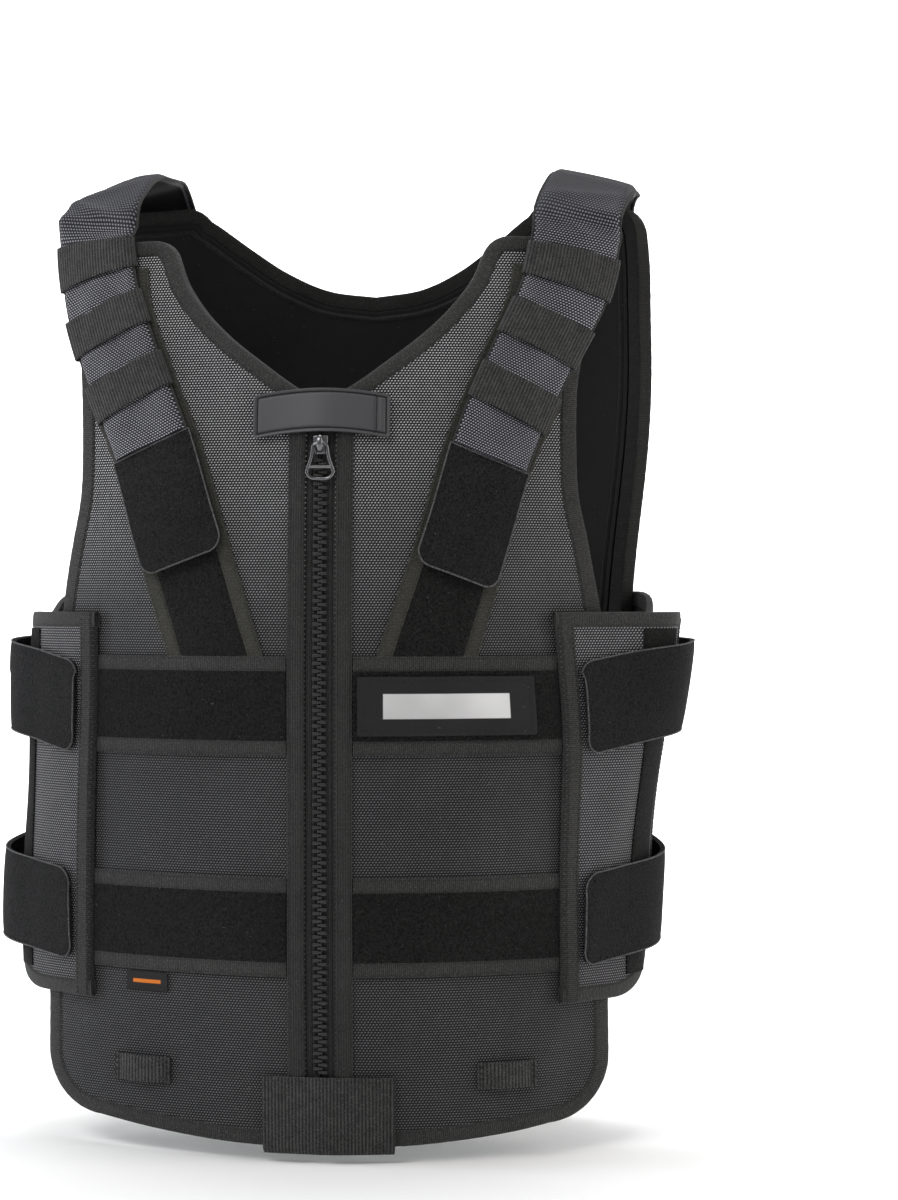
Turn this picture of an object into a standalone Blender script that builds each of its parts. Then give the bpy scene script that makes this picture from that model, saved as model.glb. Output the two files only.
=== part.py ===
"""Stab vest: padded front halves, back panel, straps, wings and zip, each its own solid.

Metres, +Z up. The vest faces -Y and +X is on the viewer's right. The origin is the middle of
the line that joins the tops of the two shoulder straps, where the shoulders carry it.
"""
import math
from functools import lru_cache

import bmesh
import bpy
import numpy as np
from mathutils import Vector

# Sizes of the worn form. A row gives the section of the body at one height: half width, then
# depth and roundness in front, then depth and roundness behind.
BODY_COLUMNS = ("z", "half_width", "front_depth", "front_power", "back_depth", "back_power")
BODY_ROWS = (
    (-0.650, 0.205, 0.112, 1.65, 0.100, 2.9),
    (-0.530, 0.208, 0.117, 1.65, 0.104, 3.0),
    (-0.400, 0.209, 0.120, 1.65, 0.110, 3.1),
    (-0.300, 0.209, 0.119, 1.65, 0.113, 3.2),
    (-0.200, 0.210, 0.111, 1.75, 0.115, 3.2),
    (-0.120, 0.211, 0.096, 1.90, 0.103, 3.1),
    (-0.052, 0.209, 0.077, 2.1, 0.080, 2.9),
    (0.010, 0.206, 0.060, 2.2, 0.056, 2.8),
)
# How far the vest's upper back, its lower sides and one armhole sit to a side, as it hangs. A
# shift along X is full past the end of each of its ranges, and nothing before their starts.
X, Y, Z = 0, 1, 2
LEAN_COLUMNS = ("shift", "ranges")
LEAN_ROWS = (
    (0.017, ((Z, -0.380, -0.080), (Y, -0.090, 0.110))),
    (-0.0065, ((Z, -0.340, -0.520), (Y, -0.112, -0.020))),
    (-0.0065, ((X, 0.060, 0.150), (Z, -0.080, -0.160), (Z, -0.400, -0.290), (Y, -0.010, -0.050))),
)
SECTION_STEPS = 180
SECTION_SOFTENING = 0.012

GAP = 0.0004
PANEL_THICKNESS = 0.009
EDGE_TAPE_WIDTH = 0.010
EDGE_TAPE_LOW = -0.0095
EDGE_TAPE_HIGH = 0.0006
TRIM_LIFT = 0.0005
TRIM_THICKNESS = 0.0014

# The front half's outline, (x, z), from the hem's middle round to the foot of the neckline.
ZIP_EDGE = 0.0095
HEM_MIDDLE = -0.642
FRONT_HEM = ((ZIP_EDGE, HEM_MIDDLE), (0.060, -0.6405), (0.110, -0.636))
FRONT_HEM_CORNER = {"centre": (0.148, -0.591), "radius": 0.040}
FRONT_SIDE = ((0.188, -0.540), (0.189, -0.420), (0.187, -0.330), (0.182, -0.290), (0.175, -0.252),
              (0.169, -0.222), (0.1675, -0.190), (0.168, -0.150), (0.171, -0.105))
FRONT_SHOULDER_CORNER = {"centre": (0.155, -0.069), "radius": 0.017}
FRONT_NECK_CORNER = {"centre": (0.1180, -0.069), "radius": 0.017}
FRONT_NECKLINE = ((0.0945, -0.082), (0.080, -0.102), (0.0625, -0.119), (0.042, -0.135),
                  (0.0215, -0.150), (ZIP_EDGE, -0.157))
FRONT_COLUMNS = 8
FRONT_ROWS = 18
FRONT_NECK_ROWS = 6

# The back panel's right half outline, (x, z), from the hem's middle round to the neck's.
BACK_HEM = ((0.000, -0.602), (0.060, -0.602))
BACK_HEM_CORNER = {"centre": (0.126, -0.552), "radius": 0.049}
BACK_SIDE = ((0.180, -0.500), (0.188, -0.420), (0.194, -0.300), (0.197, -0.160), (0.1975, -0.080))
BACK_SHOULDER_CORNER = {"centre": (0.1735, -0.041), "radius": 0.022}
BACK_NECK_CORNER = {"centre": (0.1270, -0.0312), "radius": 0.016}
BACK_NECKLINE = ((0.105, -0.0285), (0.084, -0.0440), (0.061, -0.0590), (0.033, -0.0710), (0.000, -0.0755))
BACK_COLUMNS = 14
BACK_ROWS = 15
LINING_INSET = 0.013
LINING_THICKNESS = 0.0010
LINING_GAP = 0.0008

# Bands of loop tape and seams on the front.
FACING_OUTER = 0.021
FACING_HEIGHTS = (-0.6305, -0.172)
BAND_INNER = 0.0215
BAND_OUTER = 0.1516
CHEST_BAND = (-0.390, -0.326)
WAIST_BAND = (-0.532, -0.468)
STRIP_WIDTH = 0.063
STRIP_HEIGHTS = (-0.3255, -0.070)
STRIP_LINE = ((0.069, -0.326), (0.088, -0.268), (0.112, -0.190), (0.131, -0.145), (0.148, -0.098),
              (0.154, -0.050))
STRIP_EDGE_CLEAR = 0.0112

# Zip.
TAPE_INNER = 0.0003
TAPE_HEIGHTS = (-0.6300, -0.1690)
TAPE_LOW = -0.0030
TAPE_THICKNESS = 0.0014
TEETH_HALF_WIDTH = 0.0048
TEETH_HEIGHTS = (-0.5950, -0.1970)
TEETH_THICKNESS = 0.0028
SLIDER_Z = -0.1905
SLIDER_SIZE = (0.0090, 0.0046, 0.0120)
CROWN_WIDTH = 0.0034
CROWN_HALF_LENGTH = 0.0050
CROWN_HEIGHT = 0.0066
SLIDER_CLEAR = 0.0009
CROWN_HOLE_RADIUS = 0.0014
PULL_WIRE = 0.0009
PULL_LENGTH = 0.0225
PULL_TOP_HALF_WIDTH = 0.0046
PULL_FOOT_HALF_WIDTH = 0.0088
PULL_BAR_DROP = 0.0150

# Small pieces on the front.
NECK_TAB_HALF_WIDTH = 0.0435
NECK_TAB_HEIGHTS = (-0.186, -0.158)
NECK_TAB_RISE = 0.0045
NECK_TAB_LIFT = 0.0024
NECK_TAB_THICKNESS = 0.0022
HEM_TAB_X = (-0.037, 0.047)
HEM_TAB_HEIGHTS = (-0.646, -0.596)
HEM_TAB_LIFT = 0.0022
HEM_TAB_THICKNESS = 0.0016
BELT_LOOP_X = 0.119
BELT_LOOP_SIZE = (0.038, 0.017)
BELT_LOOP_Z = -0.597
NAME_PATCH_X = (0.024, 0.136)
NAME_PATCH_HEIGHTS = (-0.377, -0.339)
NAME_PATCH_THICKNESS = 0.0024
LABEL_X = (-0.130, -0.102)
LABEL_HEIGHTS = (-0.5455, -0.5335)
LABEL_THICKNESS = 0.0008
ON_TRIM_LIFT = TRIM_LIFT + TRIM_THICKNESS + GAP

# Wings, the flaps that close the sides. Distances run round the body from its side, towards
# the back if they are positive.
WING_LIFT = 0.0017
WING_THICKNESS = 0.0040
FRONT_WING_SEAM_X = 0.1520
FRONT_WING_END = 0.003
FRONT_WING_HEIGHTS = (-0.552, -0.298)
FRONT_WING_CORNER = 0.055
FRONT_WING_GRID = {"right": (10, 12), "left": (8, 9)}
SEAM_STRIP_X = (0.1525, 0.1637)
SEAM_STRIP_THICKNESS = 0.0012
WING_TOP_LIFT = WING_LIFT + WING_THICKNESS + GAP
WING_LOOP_SPAN = (-0.0345, -0.014)
WING_LOOP_LIFT = WING_TOP_LIFT + 0.0003
WING_LOOP_THICKNESS = 0.0008
BACK_WING_SEAM_X = 0.148
BACK_WING_END = -0.027
BACK_WING_HEIGHTS = (-0.535, -0.284)
BACK_WING_CORNER = 0.070
BACK_WING_TUCK = {"from": 0.046, "to": 0.012, "lift": -0.0035}
# The right side's top stands off: how far, and the heights and the distances in front and
# behind between which that grows.
SIDE_SWELL = {"lift": 0.013, "heights": (-0.460, -0.300), "front": (-0.090, -0.008),
              "rear": (0.030, 0.000)}

# Side straps, one row each: height at the front end, at the side and at the back, and how far
# the strap stands off the wing at each side.
SIDE_STRAP_COLUMNS = ("name", "front_z", "side_z", "back_z", "standoff_right", "standoff_left")
SIDE_STRAP_ROWS = (
    ("upper", -0.361, -0.347, -0.343, 0.0085, 0.0130),
    ("lower", -0.499, -0.488, -0.474, 0.0070, 0.0125),
)
SIDE_STRAP_FRONT_X = 0.1655
SIDE_STRAP_WIDTH = 0.060
SIDE_STRAP_THICKNESS = 0.0030
SIDE_STRAP_CORNER = 0.010
SIDE_STRAP_STANDOFF_REACH = 0.052
SIDE_ANCHOR_START = 0.038
SIDE_ANCHOR_BACK_X = 0.163
SIDE_ANCHOR_THICKNESS = 0.0016

# Shoulder straps. The line of the strap's middle at the panel's face: on the front (x, z), over
# the shoulder (x, y, z), then on the back (x, z).
STRAP_FRONT = ((0.0820, -0.287), (0.0880, -0.268), (0.0970, -0.240), (0.1120, -0.190), (0.1305, -0.145),
               (0.1485, -0.098), (0.1550, -0.072), (0.1580, -0.052))
STRAP_OVER = ((0.1595, -0.051, -0.0335), (0.1600, -0.033, -0.0155), (0.1600, -0.008, -0.0065),
              (0.1590, 0.018, -0.0050), (0.1575, 0.038, -0.0055), (0.1560, 0.0545, -0.0100),
              (0.1535, 0.0645, -0.0220))
STRAP_BACK = ((0.1495, -0.038), (0.1420, -0.060), (0.1280, -0.095), (0.1140, -0.130))
# The straps don't hang alike: how far each is drawn down in front, its slope over the shoulder,
# and how far its crest is moved in x and z.
STRAP_COLUMNS = ("name", "drawn", "slope", "crest_x", "crest_z")
STRAP_ROWS = (
    ("right", 0.010, -0.25, 0.0055, -0.006),
    ("left", 0.0, -0.30, -0.007, -0.006),
)
CREST_SHARES = (0.35, 0.9, 1.0, 1.0, 0.6, 0.1, 0.0)
STRAP_WIDTH = 0.055
STRAP_THICKNESS = 0.0050
STRAP_LIFT_FRONT = 0.0023
STRAP_LIFT_BACK = 0.0012
STRAP_FRONT_END = -0.1885
STRAP_BACK_END = -0.062
STRAP_LOOP_HEIGHTS = (-0.064, -0.107, -0.150)
STRAP_LOOP_LENGTH = 0.026
STRAP_LOOP_WIDTH = 0.0570
STRAP_LOOP_THICKNESS = 0.0014
STRAP_LOOP_GAP = 0.0009
HOOK_TAB_WIDTH = 0.060
HOOK_TAB_THICKNESS = 0.0040
HOOK_TAB_HEIGHTS = (-0.265, -0.189)
HOOK_TAB_CORNER = 0.010
ANCHOR_HEIGHTS = (-0.116, -0.0625)
ANCHOR_WIDTH = 0.057
ANCHOR_THICKNESS = 0.0016
ANCHOR_EXTRA_LIFT = 0.0014

# Back trims.
WEBBING_X = (0.084, 0.140)
WEBBING_HEIGHTS = (-0.5850, -0.120)
WEBBING_LIFT = 0.0006
BACK_PATCH_HALF_WIDTH = 0.150
BACK_PATCH_HEIGHTS = (-0.2195, -0.1295)
BACK_PATCH_THICKNESS = 0.0020
BACK_PATCH_LIFT = 0.0027

FRONT_TRIM_STEP = 0.012
BACK_TRIM_STEP = 0.0185


# Tables and lines

def smooth_value(keys, values, at):
    """The value at one place on a smooth curve through a short table."""
    i = int(np.clip(np.searchsorted(keys, at) - 1, 0, len(keys) - 2))
    slopes = np.gradient(values, keys)
    span = keys[i + 1] - keys[i]
    t = min(max((at - keys[i]) / span, 0.0), 1.0)
    rise = values[i + 1] - values[i]
    bend = t * (1 - t) * (span * (slopes[i] * (1 - t) - slopes[i + 1] * t) - rise * (1 - 2 * t))
    return values[i] + rise * t + bend


def smooth_line(points, steps):
    """A smooth line through the points, as a dense list of points."""
    keys = np.arange(len(points), dtype=float)
    values = np.array(points, dtype=float)
    places = np.linspace(0, len(points) - 1, (len(points) - 1) * steps + 1)
    return [tuple(smooth_value(keys, values[:, k], at) for k in range(values.shape[1]))
            for at in places]


def arc(corner, start, end, steps=8):
    """Points on a corner's round, from one angle to the other, in degrees."""
    (cx, cz), radius = corner["centre"], corner["radius"]
    angles = [math.radians(start + (end - start) * k / steps) for k in range(steps + 1)]
    return [(cx + radius * math.cos(a), cz + radius * math.sin(a)) for a in angles]


def spaced(line, count):
    """The same line as count equal steps."""
    line = np.array(line, dtype=float)
    run = np.concatenate(([0.0], np.cumsum(np.linalg.norm(np.diff(line, axis=0), axis=1))))
    places = np.linspace(0, run[-1], count + 1)
    return [tuple(np.interp(at, run, line[:, k]) for k in range(line.shape[1])) for at in places]


def inset_line(line, inset, closed=False):
    """The line moved to its left by the inset."""
    points = [Vector(p) for p in line]
    moved = []
    last = len(points) - 1
    for i, point in enumerate(points):
        before = points[i - 1] if i or closed else point
        after = points[(i + 1) % len(points)] if i < last or closed else point
        into = (point - before).normalized() if (point - before).length > 0 else None
        out = (after - point).normalized() if (after - point).length > 0 else None
        along = ((into or out) + (out or into)).normalized()
        reach = inset / max(along.dot(into or out), 0.7)
        moved.append((point.x - along.y * reach, point.y + along.x * reach))
    return moved


# The form of the body

@lru_cache(maxsize=None)
def section(z):
    """The body's right half at one height, from the front's middle round to the back's.

    Returns x, y, the outward direction's x and y, and the distance behind the side.
    """
    keys = np.array([row[0] for row in BODY_ROWS])
    size = {name: smooth_value(keys, np.array([row[k] for row in BODY_ROWS]), z)
            for k, name in enumerate(BODY_COLUMNS)}
    turn = np.linspace(0, math.pi, SECTION_STEPS + 1)
    front = turn <= math.pi / 2
    power = np.where(front, size["front_power"], size["back_power"])
    depth = np.where(front, -size["front_depth"], size["back_depth"])
    x = size["half_width"] * np.abs(np.sin(turn)) ** (2 / power)
    y = depth * np.abs(np.cos(turn)) ** (2 / power)
    x = np.concatenate((x, -x[-2:0:-1], x[:1]))
    y = np.concatenate((y, y[-2:0:-1], y[:1]))
    run = np.concatenate(([0.0], np.cumsum(np.hypot(np.diff(x), np.diff(y)))))
    count = 2 * SECTION_STEPS
    even = np.linspace(0, run[-1], count, endpoint=False)
    x, y = np.interp(even, run, x), np.interp(even, run, y)
    step = run[-1] / count
    waves = np.fft.fftfreq(count, d=step)
    soften = np.exp(-2 * (math.pi * waves * SECTION_SOFTENING) ** 2)
    x = np.real(np.fft.ifft(np.fft.fft(x) * soften))
    y = np.real(np.fft.ifft(np.fft.fft(y) * soften))
    along_x = np.roll(x, -1) - np.roll(x, 1)
    along_y = np.roll(y, -1) - np.roll(y, 1)
    length = np.hypot(along_x, along_y)
    half = slice(0, SECTION_STEPS + 1)
    behind = np.concatenate(([0.0], np.cumsum(np.hypot(np.diff(x[half]), np.diff(y[half])))))
    widest = int(np.argmax(x[half]))
    return x[half], y[half], (along_y / length)[half], (-along_x / length)[half], behind - behind[widest]


def level(z):
    return section(round(z, 5))


def body_point(behind, z, lift):
    """A point at a distance behind the side, lifted off the body's face."""
    x, y, out_x, out_y, run = level(z)
    return Vector((np.interp(behind, run, x) + lift * np.interp(behind, run, out_x),
                   np.interp(behind, run, y) + lift * np.interp(behind, run, out_y), z))


def front_distance(x, z):
    xs, _, _, _, run = level(z)
    widest = int(np.argmax(xs)) + 1
    return float(np.interp(x, xs[:widest], run[:widest]))


def back_distance(x, z):
    xs, _, _, _, run = level(z)
    widest = int(np.argmax(xs))
    return float(np.interp(-x, -xs[widest:], run[widest:]))


def front_point(x, z, lift):
    """A point of the front's face at x, on either side of the middle."""
    point = body_point(front_distance(abs(x), z), z, lift)
    point.x = math.copysign(point.x, x) if x else 0.0
    return point


def back_point(x, z, lift):
    """A point of the back's face at x, on either side of the middle."""
    point = body_point(back_distance(abs(x), z), z, lift)
    point.x = math.copysign(point.x, x) if x else 0.0
    return point


def eased(value, start, end):
    """0 at the start, 1 at the end, smooth between."""
    t = min(max((value - start) / (end - start), 0.0), 1.0)
    return t * t * (3 - 2 * t)


def leaned(point):
    """The point as the vest hangs, with some of its parts to one side."""
    shift = sum(far * math.prod(eased(point[axis], start, end) for axis, start, end in ranges)
                for far, ranges in LEAN_ROWS)
    return Vector((point.x + shift, point.y, point.z))


# Making pieces

MATERIALS = {
    "panel_cloth": ((0.045, 0.045, 0.052), 0.75, 0.0),
    "edge_tape": ((0.030, 0.030, 0.029), 0.80, 0.0),
    "webbing": ((0.026, 0.026, 0.025), 0.75, 0.0),
    "loop_tape": ((0.010, 0.010, 0.010), 0.95, 0.0),
    "hook_tape": ((0.013, 0.013, 0.013), 0.95, 0.0),
    "lining": ((0.008, 0.008, 0.008), 0.85, 0.0),
    "zip_teeth": ((0.012, 0.012, 0.012), 0.40, 0.0),
    "black_metal": ((0.020, 0.020, 0.020), 0.25, 1.0),
    "tab_leather": ((0.035, 0.035, 0.036), 0.50, 0.0),
    "patch_cloth": ((0.012, 0.012, 0.012), 0.90, 0.0),
}


def material(name):
    made = bpy.data.materials.get(name)
    if made:
        return made
    colour, roughness, metallic = MATERIALS[name]
    made = bpy.data.materials.new(name)
    made.use_nodes = True
    shader = made.node_tree.nodes["Principled BSDF"]
    shader.inputs["Base Color"].default_value = (*colour, 1.0)
    shader.inputs["Roughness"].default_value = roughness
    shader.inputs["Metallic"].default_value = metallic
    return made


def add_object(name, mesh, material_name, collection):
    piece = bpy.data.objects.new(name, mesh)
    mesh.materials.append(material(material_name))
    collection.objects.link(piece)
    return piece


def cloth(name, material_name, place, columns, rows, thickness, mirrored=False):
    """A cloth piece: a grid laid by place(u, v), faced away from the body, then thickened."""
    grid = bmesh.new()
    bmesh.ops.create_grid(grid, x_segments=columns, y_segments=rows, size=0.5)
    for vert in grid.verts:
        point = place(vert.co.x + 0.5, vert.co.y + 0.5)
        vert.co = leaned(Vector((-point.x, point.y, point.z)) if mirrored else point)
    bmesh.ops.remove_doubles(grid, verts=grid.verts, dist=0.00001)
    grid.normal_update()
    facing = sum(f.normal.dot(Vector((*f.calc_center_median().xy, 0))) for f in grid.faces)
    if facing < 0:
        bmesh.ops.reverse_faces(grid, faces=grid.faces)
    mesh = bpy.data.meshes.new(name)
    grid.to_mesh(mesh)
    grid.free()
    piece = add_object(name, mesh, material_name, VEST)
    wall = piece.modifiers.new("Thickness", "SOLIDIFY")
    wall.thickness = thickness
    wall.offset = 1.0
    wall.use_even_offset = False
    return piece


def both_sides(maker):
    """Makes the right piece, then its mirror image on the left."""
    maker("right", False)
    maker("left", True)


def strip_place(outer, inner, point, lift):
    """Lays a strip between two lines that have the same number of points."""
    steps = len(outer) - 1

    def place(u, v):
        k = round(v * steps)
        x = outer[k][0] + (inner[k][0] - outer[k][0]) * u
        z = outer[k][1] + (inner[k][1] - outer[k][1]) * u
        return point(x, z, lift)
    return place


def filled_place(bottom, right, top, left, point, lift):
    """Fills the area between four edge lines and lays it on the body."""
    bottom, right, top, left = (np.array(line) for line in (bottom, right, top, left))

    def place(u, v):
        i, j = round(u * (len(bottom) - 1)), round(v * (len(left) - 1))
        across = bottom[i] * (1 - v) + top[i] * v
        up = left[j] * (1 - u) + right[j] * u
        corners = ((bottom[0] * (1 - u) + bottom[-1] * u) * (1 - v)
                   + (top[0] * (1 - u) + top[-1] * u) * v)
        x, z = across + up - corners
        return point(x, z, lift)
    return place


def rectangle_place(x_range, heights, point, lift):
    (x0, x1), (z0, z1) = x_range, heights
    return lambda u, v: point(x0 + (x1 - x0) * u, z0 + (z1 - z0) * v, lift)


def rounded_off(distance, radius):
    """How far a rounded corner cuts in at a distance from the end."""
    if distance >= radius:
        return 0.0
    return radius - math.sqrt(max(radius ** 2 - (radius - distance) ** 2, 0.0))


# Panels and their edge tapes

def front_edges():
    """The front half's four outer edges, each as equal steps."""
    hem = smooth_line(FRONT_HEM + tuple(arc(FRONT_HEM_CORNER, -90, -90)[:1]), 6)
    hem += arc(FRONT_HEM_CORNER, -90, -45)
    side = arc(FRONT_HEM_CORNER, -45, 0)
    shoulder = arc(FRONT_SHOULDER_CORNER, 0, 45)
    side += smooth_line(side[-1:] + list(FRONT_SIDE) + shoulder[:1], 6) + shoulder
    top = arc(FRONT_SHOULDER_CORNER, 45, 90) + arc(FRONT_NECK_CORNER, 90, 135)
    neck = arc(FRONT_NECK_CORNER, 135, 165)
    neck += smooth_line(neck[-1:] + list(FRONT_NECKLINE), 6)
    return (spaced(hem, FRONT_COLUMNS), spaced(side, FRONT_ROWS), spaced(top, FRONT_COLUMNS),
            spaced(neck, FRONT_NECK_ROWS))


def inset_edges(edges, inset):
    """The edges joined, inset and parted again."""
    joined = list(edges[0])
    for edge in edges[1:]:
        joined += edge[1:]
    moved = inset_line(joined, inset)
    parts, start = [], 0
    for edge in edges:
        parts.append(moved[start:start + len(edge)])
        start += len(edge) - 1
    return joined, moved, parts


def make_front_panels():
    edges = front_edges()
    foot = edges[3][-1]

    def on_zip_edge(line, inset):
        line[0] = (ZIP_EDGE, line[0][1])
        line[-1] = (ZIP_EDGE, foot[1] - 1.25 * inset)

    outer, tape_inner, _ = inset_edges(edges, EDGE_TAPE_WIDTH)
    on_zip_edge(tape_inner, EDGE_TAPE_WIDTH)
    _, _, (hem, side, top, neck) = inset_edges(edges, EDGE_TAPE_WIDTH + GAP)
    neck[-1] = (ZIP_EDGE, foot[1] - 1.25 * (EDGE_TAPE_WIDTH + GAP))
    hem[0] = (ZIP_EDGE, hem[0][1])
    zip_rows = FRONT_ROWS - FRONT_NECK_ROWS
    zip_edge = spaced([hem[0], neck[-1]], zip_rows)
    left = zip_edge + list(reversed(neck))[1:]
    panel = filled_place(hem, side, list(reversed(top)), left, front_point, -PANEL_THICKNESS)
    tape = strip_place(outer, tape_inner, front_point, EDGE_TAPE_LOW)

    def make(name, mirrored):
        cloth(f"front_panel_{name}", "panel_cloth", panel, FRONT_COLUMNS, FRONT_ROWS,
              PANEL_THICKNESS, mirrored)
        cloth(f"front_edge_tape_{name}", "edge_tape", tape, 1, len(outer) - 1,
              EDGE_TAPE_HIGH - EDGE_TAPE_LOW, mirrored)
    both_sides(make)


def mirrored_line(line):
    return [(-x, z) for x, z in reversed(line)]


def back_edges():
    """The back's four edges: hem, right side, top with the neckline, and left side."""
    hem = smooth_line(BACK_HEM + tuple(arc(BACK_HEM_CORNER, -90, -90)[:1]), 6)
    hem += arc(BACK_HEM_CORNER, -90, -45)
    side = arc(BACK_HEM_CORNER, -45, 0)
    shoulder = arc(BACK_SHOULDER_CORNER, 0, 45)
    side += smooth_line(side[-1:] + list(BACK_SIDE) + shoulder[:1], 6) + shoulder
    top = arc(BACK_SHOULDER_CORNER, 45, 80) + arc(BACK_NECK_CORNER, 80, 150)
    top += smooth_line(top[-1:] + list(BACK_NECKLINE), 6)
    half = BACK_COLUMNS // 2
    hem, side, top = spaced(hem, half), spaced(side, BACK_ROWS), spaced(top, half)
    return (mirrored_line(hem)[:-1] + hem, side, top + mirrored_line(top)[1:],
            mirrored_line(side))


def back_fill(inset, lift):
    _, _, (hem, side, top, left) = inset_edges(back_edges(), inset)
    hem[0] = left[-1] = (-hem[-1][0], hem[-1][1])
    return filled_place(hem, side, list(reversed(top)), list(reversed(left)), back_point, lift)


def make_back_panel():
    edges = back_edges()
    outer = [p for edge in edges for p in edge[:-1]]
    inner = inset_line(outer, EDGE_TAPE_WIDTH, closed=True)
    outer, inner = outer + outer[:1], inner + inner[:1]
    cloth("back_panel", "panel_cloth", back_fill(EDGE_TAPE_WIDTH + GAP, -PANEL_THICKNESS),
          BACK_COLUMNS, BACK_ROWS, PANEL_THICKNESS)
    cloth("back_edge_tape", "edge_tape", strip_place(outer, inner, back_point, EDGE_TAPE_LOW),
          1, len(outer) - 1, EDGE_TAPE_HIGH - EDGE_TAPE_LOW)
    lining_lift = -PANEL_THICKNESS - LINING_GAP - LINING_THICKNESS
    cloth("back_lining", "lining", back_fill(LINING_INSET, lining_lift),
          BACK_COLUMNS, BACK_ROWS, LINING_THICKNESS)


# Trims on the front

def steps_for(length, step):
    return max(1, math.ceil(length / step))


def rectangle(name, material_name, x_range, heights, point, lift, thickness, mirrored=False,
              row_step=0.026, column_step=FRONT_TRIM_STEP):
    place = rectangle_place(x_range, heights, point, lift)
    columns = steps_for(abs(x_range[1] - x_range[0]), column_step)
    rows = steps_for(abs(heights[1] - heights[0]), row_step)
    return cloth(name, material_name, place, columns, rows, thickness, mirrored)


def armhole_x(z):
    """The front half's outer edge at a height."""
    side = front_edges()[1]
    return float(np.interp(z, [p[1] for p in side], [p[0] for p in side]))


def make_diagonal_strips():
    keys = np.array([z for _, z in STRIP_LINE])
    middles = np.array([x for x, _ in STRIP_LINE])
    low, high = STRIP_HEIGHTS

    def place(u, v):
        z = low + (high - low) * v
        middle = smooth_value(keys, middles, z)
        lean = (smooth_value(keys, middles, z + 0.002) - smooth_value(keys, middles, z - 0.002)) / 0.004
        reach = STRIP_WIDTH / 2 * math.hypot(1, lean)
        start, end = middle - reach, min(middle + reach, armhole_x(z) - STRIP_EDGE_CLEAR)
        return front_point(start + (end - start) * u, z, TRIM_LIFT)

    both_sides(lambda name, mirrored: cloth(
        f"diagonal_strip_{name}", "loop_tape", place, 5, 13, TRIM_THICKNESS, mirrored))


def make_front_trims():
    def make(name, mirrored):
        rectangle(f"zip_facing_{name}", "webbing", (ZIP_EDGE + GAP, FACING_OUTER), FACING_HEIGHTS,
                  front_point, TRIM_LIFT, TRIM_THICKNESS, mirrored)
        for band, heights in (("chest", CHEST_BAND), ("waist", WAIST_BAND)):
            rectangle(f"{band}_band_{name}", "loop_tape", (BAND_INNER, BAND_OUTER), heights,
                      front_point, TRIM_LIFT, TRIM_THICKNESS, mirrored)
        middle, (width, height) = BELT_LOOP_X, BELT_LOOP_SIZE
        rectangle(f"belt_loop_{name}", "webbing", (middle - width / 2, middle + width / 2),
                  (BELT_LOOP_Z - height / 2, BELT_LOOP_Z + height / 2), front_point, TRIM_LIFT,
                  TRIM_THICKNESS, mirrored)
        rectangle(f"seam_strip_{name}", "edge_tape", SEAM_STRIP_X, FRONT_WING_HEIGHTS, front_point,
                  WING_TOP_LIFT, SEAM_STRIP_THICKNESS, mirrored)
    both_sides(make)
    rectangle("name_patch", "patch_cloth", NAME_PATCH_X, NAME_PATCH_HEIGHTS, front_point,
              ON_TRIM_LIFT, NAME_PATCH_THICKNESS)
    rectangle("woven_label", "patch_cloth", LABEL_X, LABEL_HEIGHTS, front_point,
              TRIM_LIFT, LABEL_THICKNESS)
    low, high = NECK_TAB_HEIGHTS

    def neck_tab(u, v):
        across = 2 * u - 1
        z = low + (high - low) * v + NECK_TAB_RISE * (1 - across ** 2)
        return front_point(NECK_TAB_HALF_WIDTH * across, z, NECK_TAB_LIFT)
    cloth("neck_tab", "tab_leather", neck_tab, 8, 3, NECK_TAB_THICKNESS, False)
    rectangle("hem_tab", "webbing", HEM_TAB_X, HEM_TAB_HEIGHTS, front_point, HEM_TAB_LIFT,
              HEM_TAB_THICKNESS)
    make_diagonal_strips()


# Zip

def make_zip():
    both_sides(lambda name, mirrored: rectangle(
        f"zip_tape_{name}", "webbing", (TAPE_INNER, ZIP_EDGE - GAP), TAPE_HEIGHTS, front_point,
        TAPE_LOW, TAPE_THICKNESS, mirrored))
    rectangle("zip_teeth", "zip_teeth", (-TEETH_HALF_WIDTH, TEETH_HALF_WIDTH), TEETH_HEIGHTS,
              front_point, TAPE_LOW + TAPE_THICKNESS + GAP, TEETH_THICKNESS)
    make_slider()
    make_pull()


def slider_face():
    """The depth of the slider's underside, just clear of the tapes."""
    return front_point(0, SLIDER_Z, TAPE_LOW + TAPE_THICKNESS + SLIDER_CLEAR).y


def pull_axis():
    """The height and depth of the bar that the pull turns on."""
    return slider_face() - SLIDER_SIZE[1] - CROWN_HEIGHT / 2 + 0.0004, SLIDER_Z + 0.0008


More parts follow.
